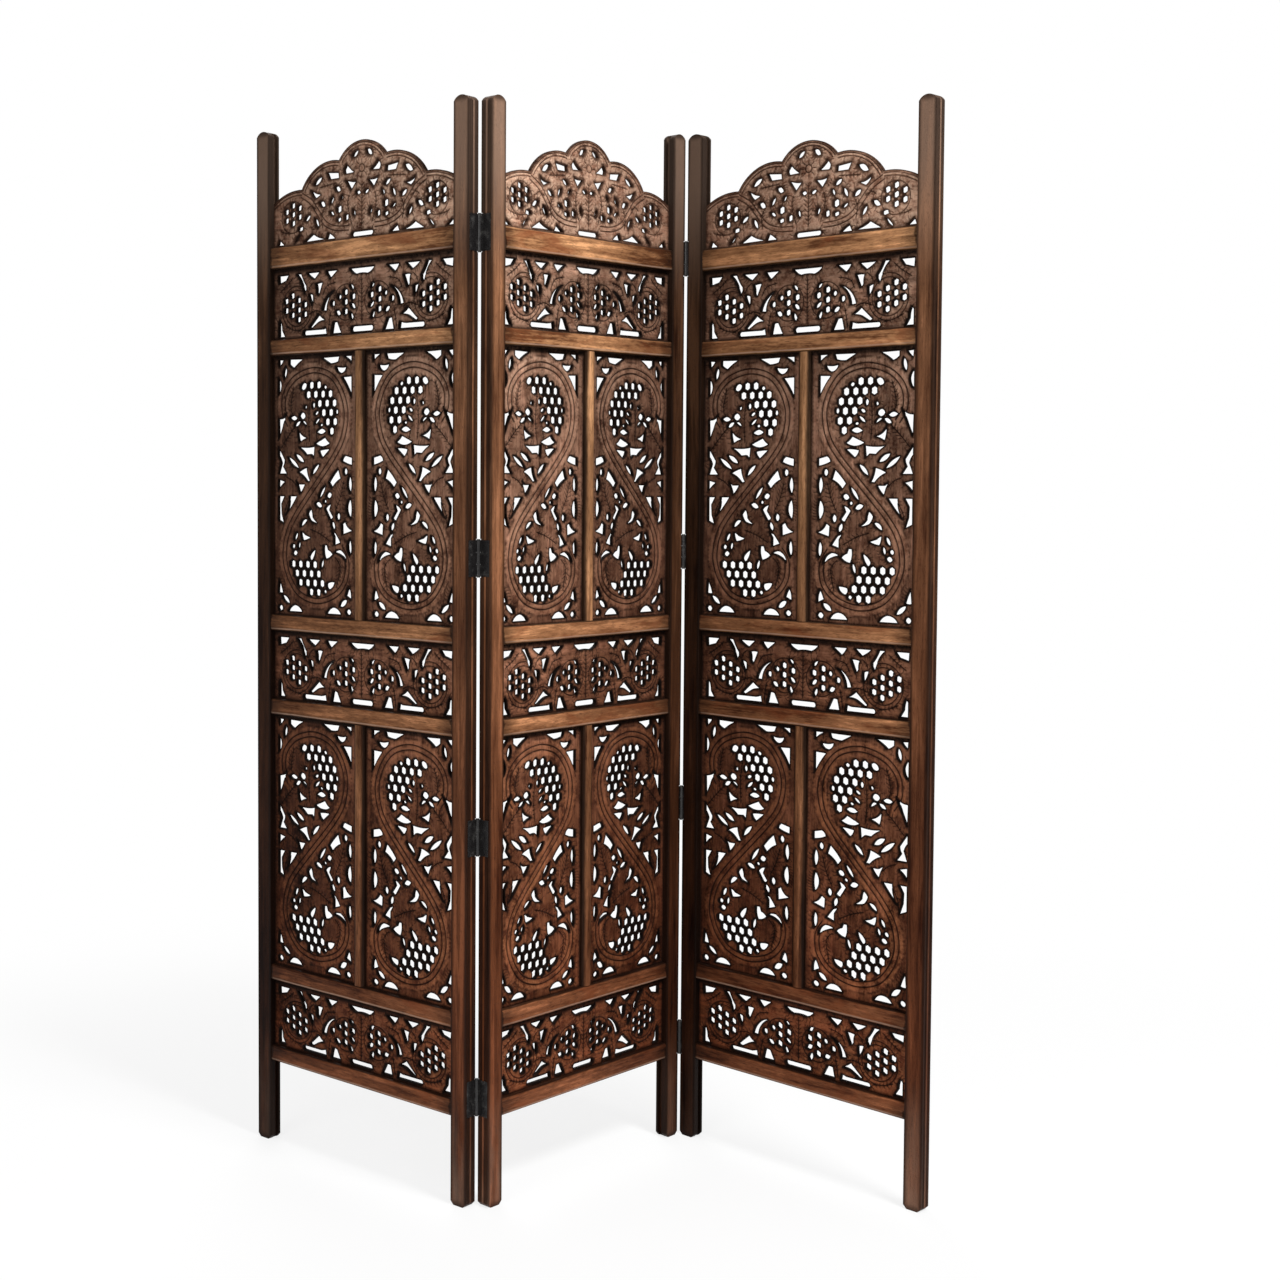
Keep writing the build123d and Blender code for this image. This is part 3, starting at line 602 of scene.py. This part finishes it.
def both_sides(strokes, leaves, rounds):
    """Leaves and circles of the right half, and the same mirrored."""
    for side in (-1, 1):
        for *corners, reach in leaves:
            strokes.leaf(*[(side * across, up) for across, up in corners], reach)
        for centre, radius in rounds:
            strokes.cut(round_line((side * centre[0], centre[1]), radius, STROKE_STEP), *ROUND_CUT)


def band_strokes(drawing):
    """The stem, scrolls and leaves of a low panel."""
    strokes = Strokes(window_fit(drawing, BAND_WINDOW))
    strokes.leaf(*BAND_STEM)
    both_sides(strokes, BAND_LEAVES, BAND_ROUNDS)
    return strokes


def crest_strokes(drawing):
    """The stem, the leaves, the scrolls and the floret of a crest."""
    middle = drawing.window_middle()

    def fit(point):
        return Vector((middle.x + point[0], drawing.window_low.y + point[1]))

    strokes = Strokes(fit)
    strokes.leaf(*CREST_STEM)
    both_sides(strokes, CREST_LEAVES, CREST_ROUNDS)
    for side in (-1, 1):
        line = smooth_line([(side * across, up) for across, up in CREST_RIBBON], STROKE_STEP)
        for strand in (-CREST_STRAND, CREST_STRAND):
            strokes.cut(beside(line, strand), *STRAND_CUT, taper=2)
    centre, inner, outer, petals = CREST_FLORET
    for index in range(petals):
        turn = 2 * math.pi * index / petals
        spoke = Vector((math.cos(turn), math.sin(turn)))
        ends = [Vector(centre) + spoke * inner, Vector(centre) + spoke * outer]
        strokes.cut(smooth_line(ends, STROKE_STEP), *FLORET_CUT, taper=1)
    return strokes


def rim_cuts(drawing, strokes):
    """Grooves that follow the lobes of the crest."""
    shoulder = drawing.window_low.y + CREST_SHOULDER
    lobes = []
    for start, end, across in drawing.edges:
        middle = (start + end) / 2
        if middle.y > shoulder and across.y < 0 and is_outer(drawing, middle, across):
            count = max(1, round((end - start).length / STROKE_STEP))
            lobes += [(start.lerp(end, step / count), across) for step in range(count)]
    for depth in CREST_RIM:
        for point, across in lobes:
            strokes.cuts.append((point + across * depth, *RIM_CUT))


def is_outer(drawing, point, across):
    """Whether nothing but air lies above this stretch of the panel's edge."""
    outward = point - across * 2
    for lift in range(0, CLEAR_AIR, CLEAR_STEP):
        if drawing.is_wood(outward + Vector((0, lift))):
            return False
    return True


class Value:
    """A shader value that adds, subtracts and multiplies as a number does."""

    def __init__(self, graph, socket):
        self.graph = graph
        self.socket = socket

    def __add__(self, other):
        return self.graph.math("ADD", self, other)

    __radd__ = __add__

    def __mul__(self, other):
        return self.graph.math("MULTIPLY", self, other)

    __rmul__ = __mul__

    def __sub__(self, other):
        return self.graph.math("SUBTRACT", self, other)

    def __rsub__(self, other):
        return self.graph.math("SUBTRACT", other, self)

    def __abs__(self):
        return self.graph.math("ABSOLUTE", self)

    def larger(self, other):
        return self.graph.math("MAXIMUM", self, other)

    def clamped(self):
        return self.graph.math("MINIMUM", self.larger(0.0), 1.0)

    def between(self, low, high):
        """0 below low and 1 above high, smooth between them."""
        inputs = {"Value": self, "From Min": low, "From Max": high}
        return self.graph.node("ShaderNodeMapRange", {"interpolation_type": "SMOOTHSTEP"}, inputs)["Result"]


class Graph:
    """The nodes of one material or of the world."""

    def __init__(self, owner):
        owner.use_nodes = True
        self.tree = owner.node_tree
        self.tree.nodes.clear()

    def node(self, kind, settings, inputs):
        """Makes a node, sets it, gives its sockets values or links, and returns its results."""
        made = self.tree.nodes.new(kind)
        for name, setting in settings.items():
            setattr(made, name, setting)
        sockets = dict(enumerate(made.inputs))
        sockets.update((socket.name, socket) for socket in reversed(made.inputs) if socket.enabled)
        for name, source in inputs.items():
            if isinstance(source, Value):
                self.tree.links.new(source.socket, sockets[name])
            else:
                sockets[name].default_value = source
        return {socket.name: Value(self, socket) for socket in reversed(made.outputs) if socket.enabled}

    def math(self, operation, *numbers):
        return self.node("ShaderNodeMath", {"operation": operation}, dict(enumerate(numbers)))["Value"]

    def mixed(self, share, first, second, blend="MIX"):
        """A colour between two, by share; the colours are links or triples."""
        first, second = (c if isinstance(c, Value) else (*c, 1.0) for c in (first, second))
        settings = {"data_type": "RGBA", "blend_type": blend}
        return self.node("ShaderNodeMix", settings, {"Factor": share, "A": first, "B": second})["Result"]

    def leaf_place(self, leaf):
        """The place on a leaf in metres in its own directions."""
        place = self.node("ShaderNodeTexCoord", {}, {})["Object"]
        if leaf is None:
            return place
        stand = leaf_frame(leaf)
        turn = (0.0, 0.0, stand.to_euler().z)
        inputs = {"Vector": place, "Location": stand.translation, "Rotation": turn}
        return self.node("ShaderNodeMapping", {"vector_type": "TEXTURE"}, inputs)["Vector"]

    def stretched(self, place, stretch, shift):
        inputs = {"Vector": place, "Location": (shift, 1.7 * shift, 0.6 * shift), "Scale": stretch}
        return self.node("ShaderNodeMapping", {"vector_type": "POINT"}, inputs)["Vector"]

    def noise(self, place, scale, detail=3.0, distortion=0.0):
        inputs = {
            "Vector": place,
            "Scale": scale,
            "Detail": detail,
            "Roughness": 0.6,
            "Distortion": distortion,
        }
        return self.node("ShaderNodeTexNoise", {}, inputs)["Fac"]

    def attribute(self, name):
        return self.node("ShaderNodeAttribute", {"attribute_name": name}, {})["Fac"]

    def surface(self, colour, roughness, height, depth, gloss):
        """Ends the material: its colour and roughness, and a bump of that depth in metres."""
        bump = self.node("ShaderNodeBump", {}, {"Height": height, "Strength": 1.0, "Distance": depth})
        inputs = {
            "Base Color": colour,
            "Roughness": roughness,
            "Normal": bump["Normal"],
            "Specular IOR Level": gloss,
        }
        shader = self.node("ShaderNodeBsdfPrincipled", {}, inputs)["BSDF"]
        self.node("ShaderNodeOutputMaterial", {}, {"Surface": shader})


# Which way the grain of a piece runs
UPRIGHT = "upright"
LEVEL = "level"

# How strongly waxed wood and japanned iron mirror the light
WAX_GLOSS = 0.06
IRON_GLOSS = 0.5

# Painted light falloff: the wood is painted paler towards the edge that stands out into
# the room and darker towards the far edge: the rise of paleness per metre along each leaf,
# and the tints of its shaded and its lit end
OUTWARD = {"left": 2.0, "middle": -2.0, "right": 2.0}
FAR_SHADE_TINT = (0.50, 0.43, 0.40)
NEAR_LIGHT_TINT = (1.42, 1.40, 1.38)

# Tints of the dark and the pale streaks in the figure, and of the dull patches of a panel
DARK_STREAK = (0.20, 0.12, 0.09)
PALE_STREAK = (2.1, 2.2, 2.3)
DULL_PATCH = (0.3, 0.2, 0.17)

# Heights above the floor, in metres, between which the wood changes from one tone to the
# next: all wood, the worn and highlighted panels, and the foot, the scuffs, the painted
# glare of the tip and the head of a stile
WOOD_RISE = (0.1, 1.7)
WEAR_AND_HIGHLIGHT_RISE = (0.6, 1.7)
STILE_FOOT = (0.0, 0.014)
STILE_SCUFFS = (0.04, 0.24)
STILE_GLARE = (1.50, 1.76)
STILE_HEAD = (1.815, 1.826)

# Where the painted shade of a stile's arris starts, as a share of its half width, how far in
# metres its bead, left pale as a painted highlight, reaches from the middle of its thickness,
# and where in millimetres its outer edge, painted in shade, starts
STILE_ARRIS = (0.55, 0.95)
STILE_BEAD = (0.0012, 0.0026)
STILE_OUTER_EDGE = (252.2, 252.8)

# Dark and pale lines of a rail, in millimetres from its lower edge, its upper edge and its
# ends: painted shade along the lower edge, a worn and painted highlight on the lower arris,
# a darker upper edge, and dark seams and ends where it meets the stiles
RAIL_UNDER = (1.0, 3.0)
RAIL_ARRIS = ((2.0, 3.4), (4.2, 6.0))
RAIL_OVER = (0.4, 2.4)
RAIL_SEAM = (0.0, 8.0)
RAIL_END = (4.0, 42.0)

# Where the painted shade on a mullion's rounded sides lies beside its crown, as a share of its half width
MULLION_SIDE = (0.42, 0.9)


def shaded(colour, amount):
    return tuple(channel * amount for channel in colour)


class Stain:
    """Stained and rubbed hardwood with painted light and shade, its grain upright or level along the leaf.
    """

    def __init__(self, name, leaf, grain, seed):
        self.material = bpy.data.materials.new(name)
        self.graph = Graph(self.material)
        self.place = self.graph.leaf_place(leaf)
        split = self.graph.node("ShaderNodeSeparateXYZ", {}, {"Vector": self.place})
        self.along, self.deep, self.height = split["X"], split["Y"], split["Z"]
        self.leaf = leaf
        self.grain = grain
        self.seed = seed

    def figure(self, scale, run, detail=3.0, distortion=0.0):
        """Noise that runs along the grain, run times as long as it is wide."""
        long = 1.0 / run
        stretch = (1.0, 1.0, long) if self.grain == UPRIGHT else (long, 1.0, 1.0)
        place = self.graph.stretched(self.place, stretch, self.seed * 3.1 + 0.5)
        return self.graph.noise(place, scale, detail, distortion)

    def wood(self, foot, head, shade, fleck):
        """Figured wood that runs from the foot's tone to the head's up the leaf."""
        graph = self.graph
        rise = self.height.between(*WOOD_RISE)
        base = graph.mixed(rise, shaded(foot, shade), shaded(head, shade))
        cloud = self.figure(11.0, 3.0)
        streak = self.figure(75.0, 18.0, 4.0, 0.6)
        fibre = self.figure(420.0, 30.0)
        dash = self.figure(240.0, 5.0, 2.0)
        tone = cloud * 1.2 + streak * 1.5 + fibre * 0.4 + dash * fleck
        level = 1.55 + 0.5 * fleck
        dark = (level - tone).between(-0.05, 0.42)
        pale = (tone - level).between(0.0, 0.40)
        colour = graph.mixed(dark * 0.9, base, DARK_STREAK, "MULTIPLY")
        colour = graph.mixed(pale, colour, PALE_STREAK, "MULTIPLY")
        pore = self.figure(1500.0, 14.0, 1.0).between(0.6, 0.72)
        self.colour = graph.mixed(pore * 0.6, colour, shaded(foot, 0.12 * shade))
        self.relief = streak * 0.5 + fibre * 0.6 - pore * 0.7
        self.roughness = 0.46 + (1.0 - tone * 0.4) * 0.18 + pore * 0.1

    def painted_falloff(self):
        """Paints light falloff on the wood: paler towards the edge that stands out into the room."""
        out = (self.along * OUTWARD[self.leaf] + 0.5).clamped()
        tint = self.graph.mixed(out, FAR_SHADE_TINT, NEAR_LIGHT_TINT)
        self.colour = self.graph.mixed(1.0, self.colour, tint, "MULTIPLY")

    # Lays a colour over the wood by a share: painted shade, painted highlights, wear and figure
    def overlaid(self, share, colour):
        self.colour = self.graph.mixed(share.clamped(), self.colour, colour)

    def finished(self, depth=0.0004):
        self.graph.surface(self.colour, self.roughness, self.relief, depth, WAX_GLOSS)
        return self.material


def panel_finish(name, leaf, grain, tones, seed, shade, wear):
    """Carved wood: painted shade black in its hollows and holes, worn pale and painted with highlights on
    its ridges.
    """
    stain = Stain(name, leaf, grain, seed)
    graph = stain.graph
    stain.wood(tones.panel_foot, tones.panel_head, shade, 0.5)
    place = graph.stretched(stain.place, (1.0, 1.0, 1.0), 0.37 * seed)
    mottle = graph.noise(place, 48.0)
    fine = graph.noise(place, 210.0)
    dull = (0.6 - mottle).between(0.0, 0.3) * 0.6
    stain.colour = graph.mixed(dull, stain.colour, DULL_PATCH, "MULTIPLY")
    lift = 0.5 + 0.5 * shade
    low, high = shaded(tones.wear_and_highlight_foot, lift), shaded(tones.wear_and_highlight, lift)
    wear_and_highlight = graph.mixed(stain.height.between(*WEAR_AND_HIGHLIGHT_RISE), low, high)
    # Worn wood and painted highlights on the ridges, in mottled patches
    wear_and_highlight_share = graph.attribute("wear_and_highlight") * (mottle * 1.6 + fine * 1.6 - 1.3).clamped() * wear
    stain.overlaid(wear_and_highlight_share, wear_and_highlight)
    # Painted light falloff across the leaf
    stain.painted_falloff()
    # Painted shade in the hollows, holes and grooves, along the frame and under the rails
    shade_and_grime = graph.attribute("shade_and_grime")
    stain.overlaid(shade_and_grime * (0.75 + fine * 0.5) * (1.15 - 0.15 * wear), tones.shade_and_grime)
    stain.relief = stain.relief + fine * 0.8
    stain.roughness = stain.roughness + shade_and_grime * 0.25
    return stain.finished(0.0006)


def stile_finish(name, leaf, tones, seed, shade, middle):
    """Stile with painted shade at its arrises and along the reeds of its outer edge, a pale bead there as a
    painted highlight, and painted glare above the crest.
    """
    stain = Stain(name, leaf, UPRIGHT, seed)
    graph = stain.graph
    stain.wood(tones.stile_foot, tones.stile_head, shade, 0.25)
    # Painted glare of the bright background on the stile above the crest
    tip = stain.height.between(*STILE_GLARE)
    stain.colour = graph.mixed(tip * 0.75, stain.colour, shaded(tones.stile_glare, 0.55 + 0.3 * shade))
    waver = stain.figure(30.0, 6.0)
    across = abs(stain.along - middle) * (METRE / STILE_HALF_WIDTH) + (waver - 0.5) * 0.3
    arris = across.between(*STILE_ARRIS)
    bead = 1.0 - abs(stain.deep).between(*STILE_BEAD)
    outer = (abs(stain.along) * METRE).between(*STILE_OUTER_EDGE)
    ends = stain.height.between(*STILE_HEAD).larger(1.0 - stain.height.between(*STILE_FOOT))
    # Painted shade along the arrises and on the outer edge, where the bead is left pale as a painted
    # highlight; dark at the foot and the top of the head
    arris_shade = arris * (0.8 - bead * outer * 0.75)
    scuff = (1.0 - stain.height.between(*STILE_SCUFFS)) * (waver * 2.0 - 0.6).clamped()
    stain.overlaid(scuff * 0.4 * shade, tones.wear_and_highlight)
    stain.overlaid(arris_shade.larger(ends * 0.7), tones.shade_and_grime)
    return stain.finished()


def rail_finish(name, leaf, tones, seed, shade, low, high):
    """Golden rail from low to high, its lower arris worn and painted with a highlight, painted shade along
    its lower edge, darker along its upper edge and where it meets the stiles.
    """
    stain = Stain(name, leaf, LEVEL, seed)
    stain.wood(tones.rail_foot, tones.rail_head, shade, 0.7)
    flame = stain.figure(24.0, 3.0, 4.0, 0.8)
    stain.overlaid(flame.between(0.5, 0.68) * 0.6, shaded(tones.flame, shade))
    # Painted light falloff across the leaf
    stain.painted_falloff()
    waver = stain.figure(40.0, 5.0)
    rise = (stain.height - low) * METRE + (waver - 0.5) * 3.0
    fall = (high - stain.height) * METRE + (waver - 0.5) * 3.0
    # A worn and painted highlight along the lower arris
    arris = rise.between(*RAIL_ARRIS[0]) * (1.0 - rise.between(*RAIL_ARRIS[1]))
    stain.overlaid(arris * 0.5, tones.wear_and_highlight)
    end = RAIL_HALF_LENGTH - abs(stain.along) * METRE + (waver - 0.5) * 24.0
    # Painted shade along the lower edge, darker along the upper edge, and dark seams and ends where the rail
    # meets the stiles
    under = 1.0 - rise.between(*RAIL_UNDER)
    over = 1.0 - fall.between(*RAIL_OVER)
    seam = (1.0 - end.between(*RAIL_SEAM)).larger(0.6 * (1.0 - end.between(*RAIL_END)))
    stain.overlaid(under.larger(seam).larger(over) * 0.88, tones.shade_and_grime)
    return stain.finished()


def mullion_finish(name, leaf, tones, seed, shade):
    """Round-fronted upright, pale along its crown and painted in shade on its rounded sides beside the
    panels.
    """
    stain = Stain(name, leaf, UPRIGHT, seed)
    stain.wood(tones.rail_foot, tones.rail_head, shade, 0.5)
    waver = stain.figure(30.0, 6.0)
    across = abs(stain.along) * (METRE / MULLION_HALF_WIDTH) + (waver - 0.5) * 0.5
    # Painted shade on the rounded sides
    stain.overlaid(across.between(*MULLION_SIDE) * 0.92, tones.shade_and_grime)
    return stain.finished()


def iron_finish(name, dark, pale):
    """Japanned iron, black and glossy, rubbed grey in places."""
    material = bpy.data.materials.new(name)
    graph = Graph(material)
    place = graph.leaf_place(None)
    cloud = graph.noise(place, 90.0, 4.0)
    grit = graph.noise(place, 900.0)
    colour = graph.mixed((cloud + grit * 0.4).between(0.7, 1.0), dark, pale)
    graph.surface(colour, 0.16 + grit * 0.25, grit, 0.0002, IRON_GLOSS)
    return material


def colour_property(name, description, default):
    return FloatVectorProperty(
        name=name, description=description, default=default, size=3, min=0.0, max=1.0, subtype="COLOR"
    )


def length_property(name, description, default):
    return FloatProperty(name=name, description=description, default=default, min=0.0, unit="LENGTH")


class ScreenCarving(bpy.types.PropertyGroup):
    """Depths of the carving on every panel."""

    groove_depth: length_property("Groove depth", "Depth of a groove of unit weight", 0.0012)
    border_depth: length_property("Border depth", "Depth of the line round inside each leaf", 0.0008)
    ground_drop: length_property("Ground drop", "How far the leaves lie below the ribbon", 0.0007)
    cushion_drop: length_property("Cushion drop", "How far the wood falls to the edge of a hole", 0.0009)
    cushion_reach: length_property("Cushion reach", "How far from a hole the wood starts to fall", 0.008)


class ScreenFinish(bpy.types.PropertyGroup):
    """Colours of the wood and the iron, and of the painted shade and highlights."""

    stile_foot: colour_property("Stile, foot", "Stain of the stiles at their feet", (0.105, 0.030, 0.011))
    stile_head: colour_property("Stile, head", "Stain of the stiles near their heads", (0.165, 0.072, 0.034))
    # Painted glare on the stiles above the crest
    stile_glare: colour_property("Stile, tip", "Rubbed stain above the crest", (0.270, 0.175, 0.125))
    rail_foot: colour_property("Rail, foot", "Stain of the lowest rails", (0.150, 0.052, 0.022))
    rail_head: colour_property("Rail, head", "Stain of the highest rails", (0.340, 0.170, 0.078))
    flame: colour_property("Flame", "Reddest stain in the figure of the rails", (0.165, 0.045, 0.016))
    panel_foot: colour_property("Panel, foot", "Stain of the lowest panels", (0.120, 0.033, 0.013))
    panel_head: colour_property("Panel, head", "Stain of the highest panels", (0.208, 0.112, 0.072))
    # Worn wood, with painted highlights on the panels' ridges and the rails' lower arrises
    wear_and_highlight: colour_property("Rubbed", "Bare wood on the higher panels and the rails", (0.440, 0.298, 0.215))
    # Worn wood with painted highlights on the lower panels' ridges
    wear_and_highlight_foot: colour_property("Rubbed, foot", "Bare wood on the lower panels", (0.300, 0.115, 0.050))
    # Painted shade in hollows, holes and corners and under the rails, with dark seams at the rails' ends
    shade_and_grime: colour_property("Grime", "Dark wax in hollows and corners", (0.006, 0.003, 0.002))
    iron_dark: colour_property("Iron, dark", "Main colour of the hinges", (0.008, 0.007, 0.007))
    iron_light: colour_property("Iron, light", "Rubbed colour of the hinges", (0.060, 0.057, 0.054))


# How pale each leaf is painted, partly its stain and partly painted light, the middle leaf paler where the
# light falls on it, and how far its crest and mullions differ
LEAF_SHADES = {"left": 0.85, "middle": 1.1, "right": 1.0}
CREST_WEAR = 2.25
MULLION_SHADE = 0.82


def stand_carved(kinds, strokes_of, grain):
    """Carves each kind of panel once and stands it in all three leaves."""
    scene = bpy.context.scene
    for seed, kind in enumerate(kinds):
        drawing = Drawing(f"middle_leaf_{kind}", "middle", open_top=kind == "crest")
        shape = carve(drawing, strokes_of(kind, drawing), scene.screen_carving)
        for leaf in LEAVES:
            name = f"{leaf}_leaf_{kind}"
            wear = CREST_WEAR if kind == "crest" else 1.0
            own = seed + 10 * LEAVES.index(leaf) + len(kind)
            shade = LEAF_SHADES[leaf] * (0.7 + 0.3 * wear)
            finish = panel_finish(f"{name}_wood", leaf, grain, scene.screen_finish, own, shade, wear)
            stand_piece(f"{name}_carved", shape, leaf, finish, name)
        shape.free()


class CarveLattices(bpy.types.Operator):
    """Carves the tall panels with their S-shaped ribbons"""

    bl_idname = "screen.carve_lattices"
    bl_label = "Carve Lattice Panels"

    def execute(self, context):
        def strokes_of(kind, drawing):
            return lattice_strokes(drawing, 1 if "right" in kind else -1)

        kinds = [f"{level}_{side}_lattice" for level in ("lower", "upper") for side in ("left", "right")]
        stand_carved(kinds, strokes_of, UPRIGHT)
        return {"FINISHED"}


class CarveBands(bpy.types.Operator):
    """Carves the low panels between the rails"""

    bl_idname = "screen.carve_bands"
    bl_label = "Carve Band Panels"

    def execute(self, context):
        kinds = [f"{level}_band" for level in ("bottom", "middle", "top")]
        stand_carved(kinds, lambda kind, drawing: band_strokes(drawing), LEVEL)
        return {"FINISHED"}


class CarveCrests(bpy.types.Operator):
    """Carves the crest of each leaf"""

    bl_idname = "screen.carve_crests"
    bl_label = "Carve Crests"

    def execute(self, context):
        def strokes_of(kind, drawing):
            strokes = crest_strokes(drawing)
            rim_cuts(drawing, strokes)
            return strokes

        stand_carved(["crest"], strokes_of, LEVEL)
        return {"FINISHED"}


# How pale each stile is painted, partly its stain and partly painted shade, the far stiles of each leaf
# darker and the near ones paler; a low number is dark
STILE_SHADES = {
    "left_leaf_left_stile": 0.22,
    "left_leaf_right_stile": 0.86,
    "middle_leaf_left_stile": 1.18,
    "middle_leaf_right_stile": 0.4,
    "right_leaf_left_stile": 0.2,
    "right_leaf_right_stile": 1.0,
}


class FinishFrames(bpy.types.Operator):
    """Stains and rubs the stiles, rails and mullions"""

    bl_idname = "screen.finish_frames"
    bl_label = "Finish Frames"

    def execute(self, context):
        tones = context.scene.screen_finish
        for seed, name in enumerate(sorted(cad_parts)):
            leaf = name.split("_")[0]
            wood = f"{name}_wood"
            if name.endswith("stile"):
                middle = (leaf_frame(leaf).inverted() @ middle_of(name)).x * MILLIMETRE
                material = stile_finish(wood, leaf, tones, seed, STILE_SHADES[name], middle)
            elif name.endswith("rail"):
                low, high = (corner.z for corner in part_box(name))
                material = rail_finish(wood, leaf, tones, seed, LEAF_SHADES[leaf], low, high)
            elif name.endswith("mullions"):
                material = mullion_finish(wood, leaf, tones, seed, LEAF_SHADES[leaf] * MULLION_SHADE)
            else:
                continue
            give_material(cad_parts[name], material)
        return {"FINISHED"}


class FinishHinges(bpy.types.Operator):
    """Japans the hinges and their screws black"""

    bl_idname = "screen.finish_hinges"
    bl_label = "Finish Hinges"

    def execute(self, context):
        finish = context.scene.screen_finish
        iron = iron_finish("hinge_iron", finish.iron_dark, finish.iron_light)
        for name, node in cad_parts.items():
            if "hinge" in name:
                give_material(node, iron)
        return {"FINISHED"}


def give_material(node, material):
    node.data.materials.clear()
    node.data.materials.append(material)


class SetStage(bpy.types.Operator):
    """Sets the floor, the lights and the camera"""

    bl_idname = "screen.set_stage"
    bl_label = "Set Stage"

    def execute(self, context):
        make_floor()
        light_stage(context.scene)
        place_camera(context.scene)
        return {"FINISHED"}


# The stage is in metres
WHITE = (1.0, 1.0, 1.0, 1.0)
FLOOR_SIZE = 40.0
FLOOR_GREY = (0.9, 0.9, 0.9, 1.0)
SHADOW_SHARE = 0.22
SHADOW_REACH = (0.9, 2.2)


def make_floor():
    """A pale floor that shows white, with a faint shadow round the feet."""
    shape = bmesh.new()
    bmesh.ops.create_grid(shape, x_segments=1, y_segments=1, size=FLOOR_SIZE / 2)
    mesh = bpy.data.meshes.new("floor")
    shape.to_mesh(mesh)
    shape.free()
    floor = bpy.data.objects.new("floor", mesh)
    bpy.context.scene.collection.objects.link(floor)
    material = bpy.data.materials.new("pale_floor")
    graph = Graph(material)
    place = graph.leaf_place(None)
    distance = graph.node("ShaderNodeVectorMath", {"operation": "LENGTH"}, {0: place})["Value"]
    path = graph.node("ShaderNodeLightPath", {}, {})
    seen = (path["Is Camera Ray"] + path["Is Glossy Ray"] + path["Is Transmission Ray"]).clamped()
    plain = 1.0 - SHADOW_SHARE * (1.0 - distance.between(*SHADOW_REACH))
    diffuse = graph.node("ShaderNodeBsdfDiffuse", {}, {"Color": FLOOR_GREY})["BSDF"]
    bright = graph.node("ShaderNodeEmission", {}, {"Color": WHITE, "Strength": 1.0})["Emission"]
    mix = graph.node("ShaderNodeMixShader", {}, {0: seen * plain, 1: diffuse, 2: bright})["Shader"]
    graph.node("ShaderNodeOutputMaterial", {}, {"Surface": mix})
    mesh.materials.append(material)


WORLD_LEVEL = 0.4
LIGHT_TARGET = Vector((0, 0, 0.9))
LIGHTS = (
    # name, place, size in metres, power in watts
    ("key_light", (1.7, -2.0, 4.2), 1.2, 165.0),
    ("fill_light", (-2.6, -3.4, 2.4), 2.4, 50.0),
    ("back_light", (-0.6, 3.2, 3.4), 2.4, 60.0),
)


def light_stage(scene):
    """Soft lamps, and a world that is white to the camera."""
    world = bpy.data.worlds.new("studio")
    scene.world = world
    graph = Graph(world)
    path = graph.node("ShaderNodeLightPath", {}, {})
    dim = graph.node("ShaderNodeBackground", {}, {"Color": WHITE, "Strength": WORLD_LEVEL})["Background"]
    bright = graph.node("ShaderNodeBackground", {}, {"Color": WHITE, "Strength": 1.0})["Background"]
    mix = graph.node("ShaderNodeMixShader", {}, {0: path["Is Camera Ray"], 1: dim, 2: bright})["Shader"]
    graph.node("ShaderNodeOutputWorld", {}, {"Surface": mix})
    for name, place, size, power in LIGHTS:
        lamp = bpy.data.lights.new(name, "AREA")
        lamp.shape = "DISK"
        lamp.size = size
        lamp.energy = power
        light = bpy.data.objects.new(name, lamp)
        scene.collection.objects.link(light)
        light.location = place
        aim = LIGHT_TARGET - Vector(place)
        light.rotation_euler = aim.to_track_quat("-Z", "Y").to_euler()


CAMERA_PLACE = (-0.2616, -3.1616, 1.1976)
CAMERA_PITCH = -2.623
CAMERA_ROLL = -0.135
CAMERA_SENSOR = 36.0
CAMERA_LENS = 51.52
CAMERA_SHIFT = (0.1658, -0.0554)


def place_camera(scene):
    """Camera a little under the height of a person's eyes, before the left joint."""
    camera = bpy.data.cameras.new("camera")
    camera.sensor_width = CAMERA_SENSOR
    camera.lens = CAMERA_LENS
    camera.shift_x, camera.shift_y = CAMERA_SHIFT
    view = bpy.data.objects.new("camera", camera)
    scene.collection.objects.link(view)
    view.location = CAMERA_PLACE
    view.rotation_euler = (math.radians(90 + CAMERA_PITCH), math.radians(CAMERA_ROLL), 0)
    scene.camera = view
    scene.view_settings.view_transform = "Standard"


STEPS = (CarveLattices, CarveBands, CarveCrests, FinishFrames, FinishHinges, SetStage)


class ScreenPanel(bpy.types.Panel):
    """Lists the steps that finish the screen"""

    bl_idname = "VIEW3D_PT_jali_screen"
    bl_label = "Jali Screen"
    bl_space_type = "VIEW_3D"
    bl_region_type = "UI"
    bl_category = "Jali Screen"

    def draw(self, context):
        for step in STEPS:
            self.layout.operator(step.bl_idname)
        for group in (context.scene.screen_carving, context.scene.screen_finish):
            for name in group.__annotations__:
                self.layout.prop(group, name)


CLASSES = (ScreenCarving, ScreenFinish, *STEPS, ScreenPanel)


def register():
    for part in CLASSES:
        bpy.utils.register_class(part)
    bpy.types.Scene.screen_carving = PointerProperty(type=ScreenCarving)
    bpy.types.Scene.screen_finish = PointerProperty(type=ScreenFinish)


def unregister():
    del bpy.types.Scene.screen_finish
    del bpy.types.Scene.screen_carving
    for part in reversed(CLASSES):
        bpy.utils.unregister_class(part)


def main():
    register()
    bpy.ops.screen.carve_lattices()
    bpy.ops.screen.carve_bands()
    bpy.ops.screen.carve_crests()
    bpy.ops.screen.finish_frames()
    bpy.ops.screen.finish_hinges()
    bpy.ops.screen.set_stage()
    bpy.context.view_layer.update()


if __name__ == "__main__":
    main()
